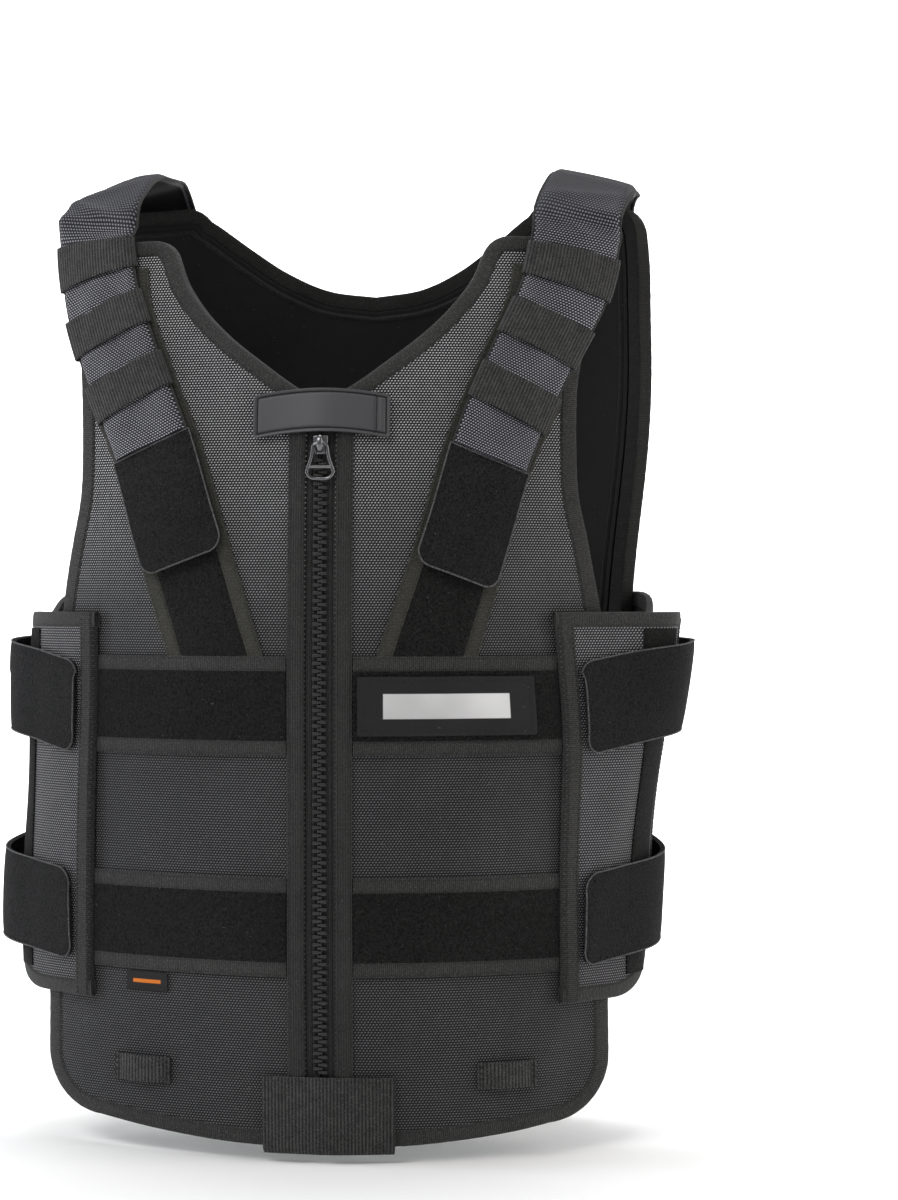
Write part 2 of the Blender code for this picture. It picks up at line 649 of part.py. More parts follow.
def make_slider():
    """The slider's body with the arched crown that holds the pull."""
    face = slider_face()
    bpy.ops.mesh.primitive_cube_add(size=1)
    body = bpy.context.object
    body.name = "zip_slider"
    body.data.name = "zip_slider"
    body.scale = SLIDER_SIZE
    bpy.ops.object.transform_apply(location=False, rotation=False, scale=True)
    body.location = (0, face - SLIDER_SIZE[1] / 2, SLIDER_Z)
    for other in body.users_collection:
        other.objects.unlink(body)
    VEST.objects.link(body)
    body.data.materials.append(material("black_metal"))

    depth, height = pull_axis()
    outline = bpy.data.curves.new("crown_outline", "CURVE")
    outline.dimensions = "2D"
    outline.fill_mode = "BOTH"
    outline.extrude = CROWN_WIDTH / 2
    half = CROWN_HALF_LENGTH
    root = face - SLIDER_SIZE[1] + 0.0010 - depth
    rise = [(half * math.cos(math.radians(a)), -CROWN_HEIGHT / 2 * math.sin(math.radians(a)))
            for a in range(0, 181, 20)]
    arch = [(half, root)] + rise + [(-half, root)]
    hole = [(CROWN_HOLE_RADIUS * math.cos(math.radians(a)),
             CROWN_HOLE_RADIUS * math.sin(math.radians(a))) for a in range(0, 360, 30)]
    for points in (arch, hole):
        spline = outline.splines.new("POLY")
        spline.points.add(len(points) - 1)
        for target, (along, out) in zip(spline.points, points):
            target.co = (along, out, 0, 1)
        spline.use_cyclic_u = True
    crown = bpy.data.objects.new("crown_outline", outline)
    VEST.objects.link(crown)
    crown.rotation_euler = (0, math.radians(90), 0)
    crown.location = (0, depth, height)
    bpy.context.view_layer.update()
    solid = mesh_of(crown, "zip_crown")
    CUTTERS.objects.link(solid)
    hide_tool(solid)
    union = body.modifiers.new("Crown", "BOOLEAN")
    union.operation = "UNION"
    union.object = solid


def mesh_of(source, name):
    """A closed mesh object made from a curve, which is then removed."""
    graph = bpy.context.evaluated_depsgraph_get()
    mesh = bpy.data.meshes.new_from_object(source.evaluated_get(graph))
    mesh.name = name
    shape = bmesh.new()
    shape.from_mesh(mesh)
    bmesh.ops.remove_doubles(shape, verts=shape.verts, dist=0.00001)
    bmesh.ops.recalc_face_normals(shape, faces=shape.faces)
    shape.to_mesh(mesh)
    shape.free()
    made = bpy.data.objects.new(name, mesh)
    made.matrix_world = source.matrix_world
    bpy.data.objects.remove(source)
    return made


def hide_tool(tool):
    tool.hide_render = True
    tool.display_type = "WIRE"


def wire(name, points, closed):
    """A round wire of the pull's thickness through the points."""
    curve = bpy.data.curves.new(name, "CURVE")
    curve.dimensions = "3D"
    curve.bevel_depth = PULL_WIRE
    curve.bevel_resolution = 1
    curve.use_fill_caps = not closed
    spline = curve.splines.new("POLY")
    spline.points.add(len(points) - 1)
    for target, point in zip(spline.points, points):
        target.co = (*point, 1)
    spline.use_cyclic_u = closed
    made = bpy.data.objects.new(name, curve)
    VEST.objects.link(made)
    bpy.context.view_layer.update()
    return made


def make_pull():
    """The pull: a drop-shaped loop of wire with a bar across it, hanging from the crown."""
    top, foot, length = PULL_TOP_HALF_WIDTH, PULL_FOOT_HALF_WIDTH, PULL_LENGTH
    right = [(0.0, 0.0), (top - 0.0024, 0.0), (top - 0.0007, -0.0008), (top, -0.0026),
             (foot - 0.0006, -length + 0.0060), (foot - 0.0004, -length + 0.0034),
             (foot - 0.0022, -length + 0.0010), (foot - 0.0048, -length)]
    loop = right + [(-x, z) for x, z in reversed(right[1:])]
    pull_loop = wire("pull_loop", [(x, 0, z) for x, z in loop], True)
    reach = top + (foot - top) * PULL_BAR_DROP / length
    bar = wire("pull_bar", [(-reach, 0, -PULL_BAR_DROP), (reach, 0, -PULL_BAR_DROP)], False)
    depth, height = pull_axis()
    body, cross = mesh_of(pull_loop, "zip_pull"), mesh_of(bar, "pull_bar")
    for piece in (body, cross):
        piece.location = (0, depth, height)
    VEST.objects.link(body)
    body.data.materials.append(material("black_metal"))
    CUTTERS.objects.link(cross)
    hide_tool(cross)
    union = body.modifiers.new("Bar", "BOOLEAN")
    union.operation = "UNION"
    union.object = cross


# Wings and side straps

def tucked_lift(behind):
    """The back wing's lift: on the back's face, then tucked under the front wing."""
    start, end = BACK_WING_TUCK["from"], BACK_WING_TUCK["to"]
    return WING_LIFT + (BACK_WING_TUCK["lift"] - WING_LIFT) * eased(behind, start, end)


def corner_heights(low, high, radius, corner_steps, rows):
    """Heights of a flap's rows, close together where its lower corner is round."""
    round_part = [low + radius * (1 - math.cos(math.pi / 2 * k / corner_steps))
                  for k in range(corner_steps)]
    rest = rows - corner_steps
    return round_part + [low + radius + (high - low - radius) * k / rest for k in range(rest + 1)]


def swell(name, behind, z):
    """How far the right side's top stands off the body."""
    if name == "left":
        return 0.0
    return (SIDE_SWELL["lift"] * eased(z, *SIDE_SWELL["heights"])
            * eased(behind, *SIDE_SWELL["front"]) * eased(behind, *SIDE_SWELL["rear"]))


def wing_place(seam, end, heights, corner, lift_at, towards):
    """Lays a flap from its seam round the side to its free end, whose foot is round."""
    low = heights[0]

    def place(u, v):
        z = heights[round(v * (len(heights) - 1))]
        start = seam(z)
        stop = end - towards * rounded_off(z - low, corner)
        behind = start + (stop - start) * u
        return body_point(behind, z, lift_at(behind, z))
    return place


def make_wings():
    low, high = BACK_WING_HEIGHTS
    back_rows = corner_heights(low, high, BACK_WING_CORNER, 4, 9)
    back = wing_place(lambda z: back_distance(BACK_WING_SEAM_X, z), BACK_WING_END, back_rows,
                      BACK_WING_CORNER, lambda behind, z: tucked_lift(behind), -1)
    loop_low = FRONT_WING_HEIGHTS[0] + FRONT_WING_CORNER
    loop_high = FRONT_WING_HEIGHTS[1] - 0.012

    def make(name, mirrored):
        columns, rows = FRONT_WING_GRID[name]
        front = wing_place(lambda z: front_distance(FRONT_WING_SEAM_X, z), FRONT_WING_END,
                           corner_heights(*FRONT_WING_HEIGHTS, FRONT_WING_CORNER, 4, rows),
                           FRONT_WING_CORNER, lambda behind, z: WING_LIFT + swell(name, behind, z), 1)
        cloth(f"front_wing_{name}", "panel_cloth", front, columns, rows, WING_THICKNESS, mirrored)
        cloth(f"back_wing_{name}", "panel_cloth", back, 11, 9, WING_THICKNESS, mirrored)

        def strip_point(behind, z, lift):
            return body_point(behind, z, lift + swell(name, behind, z))
        cloth(f"wing_loop_strip_{name}", "loop_tape",
              rectangle_place(WING_LOOP_SPAN, (loop_low, loop_high), strip_point, WING_LOOP_LIFT),
              4, 8, WING_LOOP_THICKNESS, mirrored)
    both_sides(make)


def make_side_strap(row):
    """One hook strap round the side, with the webbing that anchors it on the back wing."""
    size = dict(zip(SIDE_STRAP_COLUMNS, row))

    def middle(behind):
        front = front_distance(SIDE_STRAP_FRONT_X, size["side_z"])
        keys = np.array([front, 0.0, 0.060])
        return smooth_value(keys, np.array([size["front_z"], size["side_z"], size["back_z"]]), behind)

    def strap(name, u, v):
        start = front_distance(SIDE_STRAP_FRONT_X, size["side_z"])
        behind = start + (SIDE_ANCHOR_START - 2 * GAP - start) * v
        half = SIDE_STRAP_WIDTH / 2 - rounded_off(behind - start, SIDE_STRAP_CORNER)
        share = max(math.cos(math.pi / 2 * behind / SIDE_STRAP_STANDOFF_REACH), 0.0) ** 2
        if abs(behind) > SIDE_STRAP_STANDOFF_REACH:
            share = 0.0
        z = middle(behind) + (2 * u - 1) * half
        standoff = size[f"standoff_{name}"] * share + swell(name, behind, z)
        return body_point(behind, z, WING_TOP_LIFT + standoff)

    def anchor(u, v):
        z = size["back_z"] + (u - 0.5) * SIDE_STRAP_WIDTH
        end = back_distance(SIDE_ANCHOR_BACK_X, z)
        behind = SIDE_ANCHOR_START + (end - SIDE_ANCHOR_START) * v
        return body_point(behind, z, WING_TOP_LIFT)

    def make(name, mirrored):
        cloth(f"side_strap_{size['name']}_{name}", "hook_tape",
              lambda u, v: strap(name, u, v), 3, 14, SIDE_STRAP_THICKNESS, mirrored)
        cloth(f"side_anchor_{size['name']}_{name}", "webbing", anchor, 1, 5,
              SIDE_ANCHOR_THICKNESS, mirrored)
    both_sides(make)


# Shoulder straps

STRAPS = {row[0]: dict(zip(STRAP_COLUMNS, row)) for row in STRAP_ROWS}


def strap_keys(name):
    """The strap's middle line: points in space, and how much each lies on front or back."""
    crest_x, crest_z = STRAPS[name]["crest_x"], STRAPS[name]["crest_z"]
    front = [(*front_point(x, z, 0.0), 1.0, 0.0) for x, z in STRAP_FRONT]
    over = [(x + crest_x * share, y, z + crest_z * share, 0.0, 0.0)
            for (x, y, z), share in zip(STRAP_OVER, CREST_SHARES)]
    back = [(*back_point(x, z, 0.0), 0.0, 1.0) for x, z in STRAP_BACK]
    return front + over + back


@lru_cache(maxsize=None)
def strap_line(name):
    """The strap's line as arrays: run, points, front share, back share and crosswise way."""
    line = np.array(smooth_line(strap_keys(name), 10))
    run = np.concatenate(([0.0], np.cumsum(np.linalg.norm(np.diff(line[:, :3], axis=0), axis=1))))
    along = np.gradient(line[:, :3], run, axis=0)
    over_slope = np.array((1.0, 0.0, STRAPS[name]["slope"]))
    across = []
    for (x, y, z, on_front, on_back), way in zip(line, along):
        point = front_point if y < 0 else back_point
        reach = 0.010
        lean = Vector((way[2], -way[0])).normalized() * (1 if y < 0 else -1)
        surface = point(x + lean.x * reach, z + lean.y * reach, 0) - point(
            x - lean.x * reach, z - lean.y * reach, 0)
        share = min(max(on_front, 0.0) + max(on_back, 0.0), 1.0)
        if abs(way[2]) < 0.3:
            share = 0.0
        mixed = np.array(surface.normalized()) * share + over_slope * (1 - share)
        mixed -= way * mixed.dot(way) / way.dot(way)
        across.append(mixed / np.linalg.norm(mixed))
    return run, line[:, :3], line[:, 3], line[:, 4], np.array(across), along


def strap_place(name, run_at, aside, lift):
    """A point of the strap, aside of its middle and above its underside."""
    run, points, on_front, on_back, across, along = strap_line(name)

    def read(values):
        return np.array([np.interp(run_at, run, values[:, k]) for k in range(3)])
    centre, side, way = Vector(read(points)), Vector(read(across)), Vector(read(along))
    front = float(np.clip(np.interp(run_at, run, on_front), 0, 1))
    back = float(np.clip(np.interp(run_at, run, on_back), 0, 1))
    raised = STRAP_LIFT_FRONT * front + STRAP_LIFT_BACK * back + lift
    out = way.cross(side).normalized()
    if out.dot(Vector((0, centre.y, 0.06))) < 0:
        out = -out
    free = centre + side * aside + out * raised
    spot = centre + side * aside
    if front > 0:
        return free.lerp(front_point(spot.x, spot.z, raised), front)
    if back > 0:
        return free.lerp(back_point(spot.x, spot.z, raised), back)
    return free


def strap_run(name, z, behind=False):
    """How far along the strap a height is, in front or behind."""
    run, points, _, _, _, _ = strap_line(name)
    top = int(np.argmax(points[:, 2]))
    if behind:
        return float(np.interp(-z, -points[top:, 2], run[top:]))
    return float(np.interp(z, points[:top, 2], run[:top]))


def strap_piece(label, side, material_name, start, end, width, lift, thickness, columns, rows,
                corner=0.0):
    """A piece of the strap between two places on its line; corner rounds its lower end."""
    def place(u, v):
        at = start + (end - start) * v
        half = width / 2 - (rounded_off(at - start, corner) if corner else 0.0)
        return strap_place(side, at, (2 * u - 1) * half, lift)
    return cloth(f"{label}_{side}", material_name, place, columns, rows, thickness, side == "left")


def make_shoulder_straps():
    for side, size in STRAPS.items():
        drawn = size["drawn"]
        strap_piece("shoulder_strap", side, "panel_cloth", strap_run(side, STRAP_FRONT_END) - drawn,
                    strap_run(side, STRAP_BACK_END, True), STRAP_WIDTH, 0.0, STRAP_THICKNESS, 3, 32)
        low, high = HOOK_TAB_HEIGHTS
        strap_piece("strap_tab", side, "hook_tape", strap_run(side, low) - drawn,
                    strap_run(side, high) - GAP - drawn, HOOK_TAB_WIDTH, 0.0, HOOK_TAB_THICKNESS,
                    4, 6, HOOK_TAB_CORNER)
        for number, height in enumerate(STRAP_LOOP_HEIGHTS, start=1):
            middle = strap_run(side, height) - drawn
            strap_piece(f"strap_loop_{number}", side, "webbing", middle - STRAP_LOOP_LENGTH / 2,
                        middle + STRAP_LOOP_LENGTH / 2, STRAP_LOOP_WIDTH,
                        STRAP_THICKNESS + STRAP_LOOP_GAP, STRAP_LOOP_THICKNESS, 4, 4)
        low, high = ANCHOR_HEIGHTS
        strap_piece("strap_anchor", side, "webbing", strap_run(side, high, True),
                    strap_run(side, low, True), ANCHOR_WIDTH, ANCHOR_EXTRA_LIFT, ANCHOR_THICKNESS,
                    4, 4)


def make_back_trims():
    both_sides(lambda name, mirrored: rectangle(
        f"back_webbing_{name}", "webbing", WEBBING_X, WEBBING_HEIGHTS, back_point, WEBBING_LIFT,
        TRIM_THICKNESS, mirrored, column_step=BACK_TRIM_STEP))
    rectangle("back_patch", "patch_cloth", (-BACK_PATCH_HALF_WIDTH, BACK_PATCH_HALF_WIDTH),
              BACK_PATCH_HEIGHTS, back_point, BACK_PATCH_LIFT, BACK_PATCH_THICKNESS,
              column_step=BACK_TRIM_STEP)


for old in list(bpy.data.objects):
    bpy.data.objects.remove(old)
VEST = bpy.data.collections.new("stab_vest")
CUTTERS = bpy.data.collections.new("cutters")
for collection in (VEST, CUTTERS):
    bpy.context.scene.collection.children.link(collection)

make_front_panels()
make_back_panel()
make_front_trims()
make_zip()
make_wings()
for strap_row in SIDE_STRAP_ROWS:
    make_side_strap(strap_row)
make_shoulder_straps()
make_back_trims()
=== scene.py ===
# %% [markdown]
# # A stab vest, dressed for the camera
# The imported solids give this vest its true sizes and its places. This lesson lays finer cloth,
# webbing, hook-and-loop tape, a zip and thread over them, piece by piece, and gives each one a
# finish of its own. Everything is in metres, +Z is up and the vest's front faces -Y.

# %% Load the solids
import math

import bmesh
import bpy
import numpy as np
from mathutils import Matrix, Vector


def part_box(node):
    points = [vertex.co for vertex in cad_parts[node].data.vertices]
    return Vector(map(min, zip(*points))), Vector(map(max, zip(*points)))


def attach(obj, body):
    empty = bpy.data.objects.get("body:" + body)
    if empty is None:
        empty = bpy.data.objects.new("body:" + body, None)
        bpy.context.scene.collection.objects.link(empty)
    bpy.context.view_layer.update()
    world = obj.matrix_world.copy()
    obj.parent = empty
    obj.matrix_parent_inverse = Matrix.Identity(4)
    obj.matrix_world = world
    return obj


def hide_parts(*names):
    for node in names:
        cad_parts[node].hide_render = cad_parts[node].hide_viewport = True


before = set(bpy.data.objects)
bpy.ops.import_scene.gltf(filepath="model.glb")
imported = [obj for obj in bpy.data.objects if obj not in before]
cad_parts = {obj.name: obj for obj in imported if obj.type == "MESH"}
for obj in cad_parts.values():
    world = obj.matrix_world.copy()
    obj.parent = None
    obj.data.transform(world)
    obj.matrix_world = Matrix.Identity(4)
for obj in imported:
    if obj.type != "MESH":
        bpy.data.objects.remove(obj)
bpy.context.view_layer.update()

bpy.ops.object.select_all(action="DESELECT")

# %% [markdown]
# ## The camera
# The photo was taken from the height of the vest's middle, a little to the wearer's left of
# straight ahead, with a long lens. The vest stands left of the picture's middle, so the lens is
# shifted sideways and not turned, which keeps the zip upright.

# %% Camera
CAMERA_TURN = math.radians(6.5)
CAMERA_AWAY = 1.916
CAMERA_HEIGHT = -0.290
PICTURE = (898, 1200)
PIXELS_PER_UNIT = 2812.5
AXIS_COLUMN = 340.5

bpy.ops.object.camera_add(
    location=(math.sin(CAMERA_TURN) * CAMERA_AWAY, -math.cos(CAMERA_TURN) * CAMERA_AWAY, CAMERA_HEIGHT),
    rotation=(math.radians(90), 0, CAMERA_TURN))
camera = bpy.context.object
camera.data.lens = PIXELS_PER_UNIT / PICTURE[1] * camera.data.sensor_width
camera.data.shift_x = (PICTURE[0] / 2 - AXIS_COLUMN) / PICTURE[1]
bpy.context.scene.camera = camera
print("lens:", round(camera.data.lens, 1), "shift:", round(camera.data.shift_x, 4))

# %% [markdown]
# ## The wearer's form
# Cloth needs something to lie on. A table gives the body's section at eight heights, and a smooth
# curve joins them. Each section is a rounded box, softened, so it turns evenly round the sides.

# %% Body sections
BODY_COLUMNS = ("z", "half_width", "front_depth", "front_power", "back_depth", "back_power")
BODY_ROWS = (
    (-0.650, 0.205, 0.112, 1.65, 0.100, 2.9),
    (-0.530, 0.208, 0.117, 1.65, 0.104, 3.0),
    (-0.400, 0.209, 0.120, 1.65, 0.110, 3.1),
    (-0.300, 0.209, 0.119, 1.65, 0.113, 3.2),
    (-0.200, 0.210, 0.111, 1.75, 0.115, 3.2),
    (-0.120, 0.211, 0.096, 1.90, 0.103, 3.1),
    (-0.052, 0.209, 0.077, 2.1, 0.080, 2.9),
    (0.010, 0.206, 0.060, 2.2, 0.056, 2.8),
)
SECTION_STEPS = 180
SECTION_SOFTENING = 0.012


def smooth_value(keys, values, at):
    """The value at one place on a smooth curve through a short table."""
    i = int(np.clip(np.searchsorted(keys, at) - 1, 0, len(keys) - 2))
    slopes = np.gradient(values, keys)
    span = keys[i + 1] - keys[i]
    t = min(max((at - keys[i]) / span, 0.0), 1.0)
    rise = values[i + 1] - values[i]
    bend = t * (1 - t) * (span * (slopes[i] * (1 - t) - slopes[i + 1] * t) - rise * (1 - 2 * t))
    return values[i] + rise * t + bend


def section(z):
    """One section's x, y, outward direction and distance behind the side."""
    keys = np.array([row[0] for row in BODY_ROWS])
    size = {name: smooth_value(keys, np.array([row[k] for row in BODY_ROWS]), z)
            for k, name in enumerate(BODY_COLUMNS)}
    turn = np.linspace(0, math.pi, SECTION_STEPS + 1)
    front = turn <= math.pi / 2
    power = np.where(front, size["front_power"], size["back_power"])
    depth = np.where(front, -size["front_depth"], size["back_depth"])
    x = size["half_width"] * np.abs(np.sin(turn)) ** (2 / power)
    y = depth * np.abs(np.cos(turn)) ** (2 / power)
    x = np.concatenate((x, -x[-2:0:-1], x[:1]))
    y = np.concatenate((y, y[-2:0:-1], y[:1]))
    run = np.concatenate(([0.0], np.cumsum(np.hypot(np.diff(x), np.diff(y)))))
    count = 2 * SECTION_STEPS
    even = np.linspace(0, run[-1], count, endpoint=False)
    x, y = np.interp(even, run, x), np.interp(even, run, y)
    soften = np.exp(-2 * (math.pi * np.fft.fftfreq(count, d=run[-1] / count) * SECTION_SOFTENING) ** 2)
    x = np.real(np.fft.ifft(np.fft.fft(x) * soften))
    y = np.real(np.fft.ifft(np.fft.fft(y) * soften))
    along_x, along_y = np.roll(x, -1) - np.roll(x, 1), np.roll(y, -1) - np.roll(y, 1)
    length = np.hypot(along_x, along_y)
    half = slice(0, SECTION_STEPS + 1)
    behind = np.concatenate(([0.0], np.cumsum(np.hypot(np.diff(x[half]), np.diff(y[half])))))
    widest = int(np.argmax(x[half]))
    return x[half], y[half], (along_y / length)[half], (-along_x / length)[half], behind - behind[widest]


# %% [markdown]
# A vest has tens of thousands of points to lay, so the form is read once into tables: rows for
# the height, columns for the distance behind the side. Two more tables turn an x on the front or
# on the back into that distance.

# %% Form tables
LEVELS = np.linspace(-0.664, 0.024, 345)
REACH = np.linspace(-0.330, 0.330, 661)
ACROSS = np.linspace(0.0, 0.214, 215)
form = np.empty((4, len(LEVELS), len(REACH)))
front_far, back_far = np.empty((2, len(LEVELS), len(ACROSS)))
for row, height in enumerate(LEVELS):
    xs, ys, out_x, out_y, run = section(height)
    for table, values in zip(form, (xs, ys, out_x, out_y)):
        table[row] = np.interp(REACH, run, values)
    widest = int(np.argmax(xs))
    front_far[row] = np.interp(ACROSS, xs[:widest + 1], run[:widest + 1])
    back_far[row] = np.interp(-ACROSS, -xs[widest:], run[widest:])
print("girth at the waist:", round(2 * (run[-1] - run[0]), 3))


def look_up(table, keys, at, z):
    """Reads a form table between its rows and columns."""
    column = np.clip((at - keys[0]) / (keys[1] - keys[0]), 0, len(keys) - 1.001)
    line = np.clip((z - LEVELS[0]) / (LEVELS[1] - LEVELS[0]), 0, len(LEVELS) - 1.001)
    i, j = column.astype(int), line.astype(int)
    s, t = column - i, line - j
    return ((table[j, i] * (1 - s) + table[j, i + 1] * s) * (1 - t)
            + (table[j + 1, i] * (1 - s) + table[j + 1, i + 1] * s) * t)


# %% [markdown]
# Worn cloth is never dead flat. A few long, low waves run over the whole vest, the same for every
# layer, so a band that is sewn to a panel waves with it. Some parts of the vest also hang a little
# to a side: each lean is full past the end of each of its ranges, and nothing before their starts.

# %% Laying points on the form
WAVES = (  # length across, length up, turn, height, all in metres but the turn
    (0.230, 0.170, 0.4, 0.00050),
    (-0.130, 0.210, 2.1, 0.00040),
    (0.078, -0.150, 4.0, 0.00028),
    (-0.055, 0.120, 1.2, 0.00016),
)
X, Y, Z = 0, 1, 2
LEANS = (  # shift along x, and its ranges: axis, start and end
    (0.017, ((Z, -0.380, -0.080), (Y, -0.090, 0.110))),
    (-0.0065, ((Z, -0.340, -0.520), (Y, -0.112, -0.020))),
    (-0.0065, ((X, 0.060, 0.150), (Z, -0.080, -0.160), (Z, -0.400, -0.290), (Y, -0.010, -0.050))),
)


def waves(x, y, z):
    total = 0.0
    for across, up, turn, height in WAVES:
        total = total + height * np.sin(2 * math.pi * ((x + 1.3 * y) / across + z / up) + turn)
    return total


def eased(value, low, high):
    t = np.clip((value - low) / (high - low), 0.0, 1.0)
    return t * t * (3 - 2 * t)


def leaned(points):
    moved = points.copy()
    for shift, ranges in LEANS:
        shares = [eased(points[..., axis], start, end) for axis, start, end in ranges]
        moved[..., 0] += shift * np.prod(shares, axis=0)
    return moved


def on_form(side, a, z):
    """Points on the plain form and the way out of it. a is x on the front and the back, and the
    distance behind the side on the flank."""
    a, z = np.broadcast_arrays(np.asarray(a, float), np.asarray(z, float))
    if side == "front":
        behind = look_up(front_far, ACROSS, np.abs(a), z)
    elif side == "back":
        behind = look_up(back_far, ACROSS, np.abs(a), z)
    else:
        behind = a
    x, y, out_x, out_y = (look_up(table, REACH, behind, z) for table in form)
    sign = 1.0 if side == "flank" else np.where(a < 0, -1.0, 1.0)
    return np.stack((x * sign, y, z), axis=-1), np.stack((out_x * sign, out_y, np.zeros_like(y)), axis=-1)


def raised(points, out, lift, mirror=False):
    """The points lifted off the form, with the waves added, on the right or the left side."""
    way = np.array((-1.0 if mirror else 1.0, 1.0, 1.0))
    lift = lift + waves(points[..., 0] * way[0], points[..., 1], points[..., 2])
    return (points + out * lift[..., None]) * way


def lay(side, a, z, lift, mirror=False):
    return leaned(raised(*on_form(side, a, z), lift, mirror))


# %% [markdown]
# ## Lines on the cloth
# Outlines are drawn as flat lines of (a, z) points. These helpers smooth a line, cut it into equal
# steps, move it sideways for a seam allowance and round a corner.

# %% Line helpers
def smooth_line(points, steps):
    keys = np.arange(len(points), dtype=float)
    values = np.array(points, dtype=float)
    places = np.linspace(0, len(points) - 1, (len(points) - 1) * steps + 1)
    return [tuple(smooth_value(keys, values[:, k], at) for k in range(values.shape[1]))
            for at in places]


def arc(corner, start, end, steps=8):
    (cx, cz), radius = corner["centre"], corner["radius"]
    angles = [math.radians(start + (end - start) * k / steps) for k in range(steps + 1)]
    return [(cx + radius * math.cos(a), cz + radius * math.sin(a)) for a in angles]


def length_of(line):
    return float(np.linalg.norm(np.diff(np.array(line, float), axis=0), axis=1).sum())


def spaced(line, count):
    line = np.array(line, dtype=float)
    run = np.concatenate(([0.0], np.cumsum(np.linalg.norm(np.diff(line, axis=0), axis=1))))
    places = np.linspace(0, run[-1], count + 1)
    return np.stack([np.interp(places, run, line[:, k]) for k in range(line.shape[1])], axis=1)


def inset(line, by, closed=False):
    """The line moved to its left, with its corners mitred."""
    points = np.array(line, float)
    before, after = np.roll(points, 1, axis=0), np.roll(points, -1, axis=0)
    if not closed:
        before[0] = points[0] * 2 - points[1]
        after[-1] = points[-1] * 2 - points[-2]
    into, out = points - before, after - points
    into /= np.maximum(np.linalg.norm(into, axis=1, keepdims=True), 1e-9)
    out /= np.maximum(np.linalg.norm(out, axis=1, keepdims=True), 1e-9)
    along = into + out
    along /= np.maximum(np.linalg.norm(along, axis=1, keepdims=True), 1e-9)
    reach = by / np.maximum((along * into).sum(axis=1, keepdims=True), 0.7)
    return points + reach * np.stack((-along[:, 1], along[:, 0]), axis=1)


def upright(a, heights, rows):
    """A line straight up at one place."""
    return np.stack((np.full(rows + 1, float(a)), np.linspace(*heights, rows + 1)), axis=1)


# %% [markdown]
# ## From a flat cut to a piece of cloth
# Every cloth piece starts as a grid. Its points are laid on the form, its UV map keeps their real
# distances in metres, so that a weave has the same size everywhere, and a wall gives it thickness.
# A small bevel takes the knife edge off. The faces are checked: they must look away from the body.

# %% Cloth maker
CELL = 0.004
made = {}


def steps(length, cell=CELL):
    return max(1, math.ceil(length / cell))


def measured_flat(points):
    """Distances in metres across and along a grid of points, from its middle line."""
    across = np.linalg.norm(np.diff(points, axis=1), axis=2)
    along = np.linalg.norm(np.diff(points, axis=0), axis=2)
    u = np.concatenate((np.zeros((len(points), 1)), np.cumsum(across, axis=1)), axis=1)
    v = np.concatenate((np.zeros((1, points.shape[1])), np.cumsum(along, axis=0)), axis=0)
    u -= u[:, -1:] / 2
    return np.stack((u, np.repeat(v.mean(axis=1, keepdims=True), points.shape[1], axis=1)), axis=2)


def add_modifier(piece, kind, **values):
    bpy.ops.object.modifier_add(type=kind)
    modifier = piece.modifiers[-1]
    for key, value in values.items():
        setattr(modifier, key, value)
    bpy.ops.object.modifier_apply(modifier=modifier.name)


def ride(piece, node=None, body="vest"):
    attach(piece, body)
    if node:
        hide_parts(node)
    made[piece.name] = piece
    return piece


def faces_away(points, inside_point=None, folded=False):
    """True if the grid's faces look away from the body, or from the fold's own middle."""
    across, up = np.diff(points, axis=1)[:-1], np.diff(points, axis=0)[:, :-1]
    centres = (points[1:, 1:] + points[:-1, :-1]) / 2
    away = centres - (centres.mean(axis=1, keepdims=True) if folded else 0.0)
    if inside_point is not None:
        away = centres - np.array(inside_point)
    elif not folded:
        away[..., 2] = 0.0
    return float((np.cross(across, up) * away).sum()) >= 0


def laid(name, points, finish, thickness, slot, node=None, flat=None, inside_point=None, folded=False,
         inside=None, bevel=0.00030):
    """A grid of points made into a piece of cloth."""
    rows, columns = points.shape[0] - 1, points.shape[1] - 1
    flat = measured_flat(points) if flat is None else flat
    if not faces_away(points, inside_point, folded):
        points, flat = points[:, ::-1], flat[:, ::-1]
    bpy.ops.object.select_all(action="DESELECT")
    bpy.ops.mesh.primitive_grid_add(x_subdivisions=columns, y_subdivisions=rows, size=1.0)
    piece = bpy.context.object
    piece.name = piece.data.name = name
    mesh = piece.data
    spots = np.empty(len(mesh.vertices) * 3)
    mesh.vertices.foreach_get("co", spots)
    spots = spots.reshape(-1, 3)
    i = np.rint((spots[:, 0] + 0.5) * columns).astype(int)
    j = np.rint((spots[:, 1] + 0.5) * rows).astype(int)
    mesh.vertices.foreach_set("co", points[j, i].ravel())
    corners = np.empty(len(mesh.loops), int)
    mesh.loops.foreach_get("vertex_index", corners)
    mesh.uv_layers[0].data.foreach_set("uv", flat[j, i][corners].ravel())
    mesh.update()
    mesh.materials.append(finish)
    wall = dict(thickness=thickness, offset=-1.0, use_even_offset=False)
    if inside:
        mesh.materials.append(inside)
        wall["material_offset"] = 1
    add_modifier(piece, "SOLIDIFY", **wall)
    if bevel:
        add_modifier(piece, "BEVEL", width=bevel, segments=2, limit_method="ANGLE",
                     angle_limit=math.radians(55))
    bpy.ops.object.shade_smooth_by_angle(angle=math.radians(45))
    return ride(piece, node)


# %% [markdown]
# Two shapes cover most of a vest: a band between two lines, and a binding that is folded round an
# edge. The band can be crowned, higher in its middle than at its sewn edges.

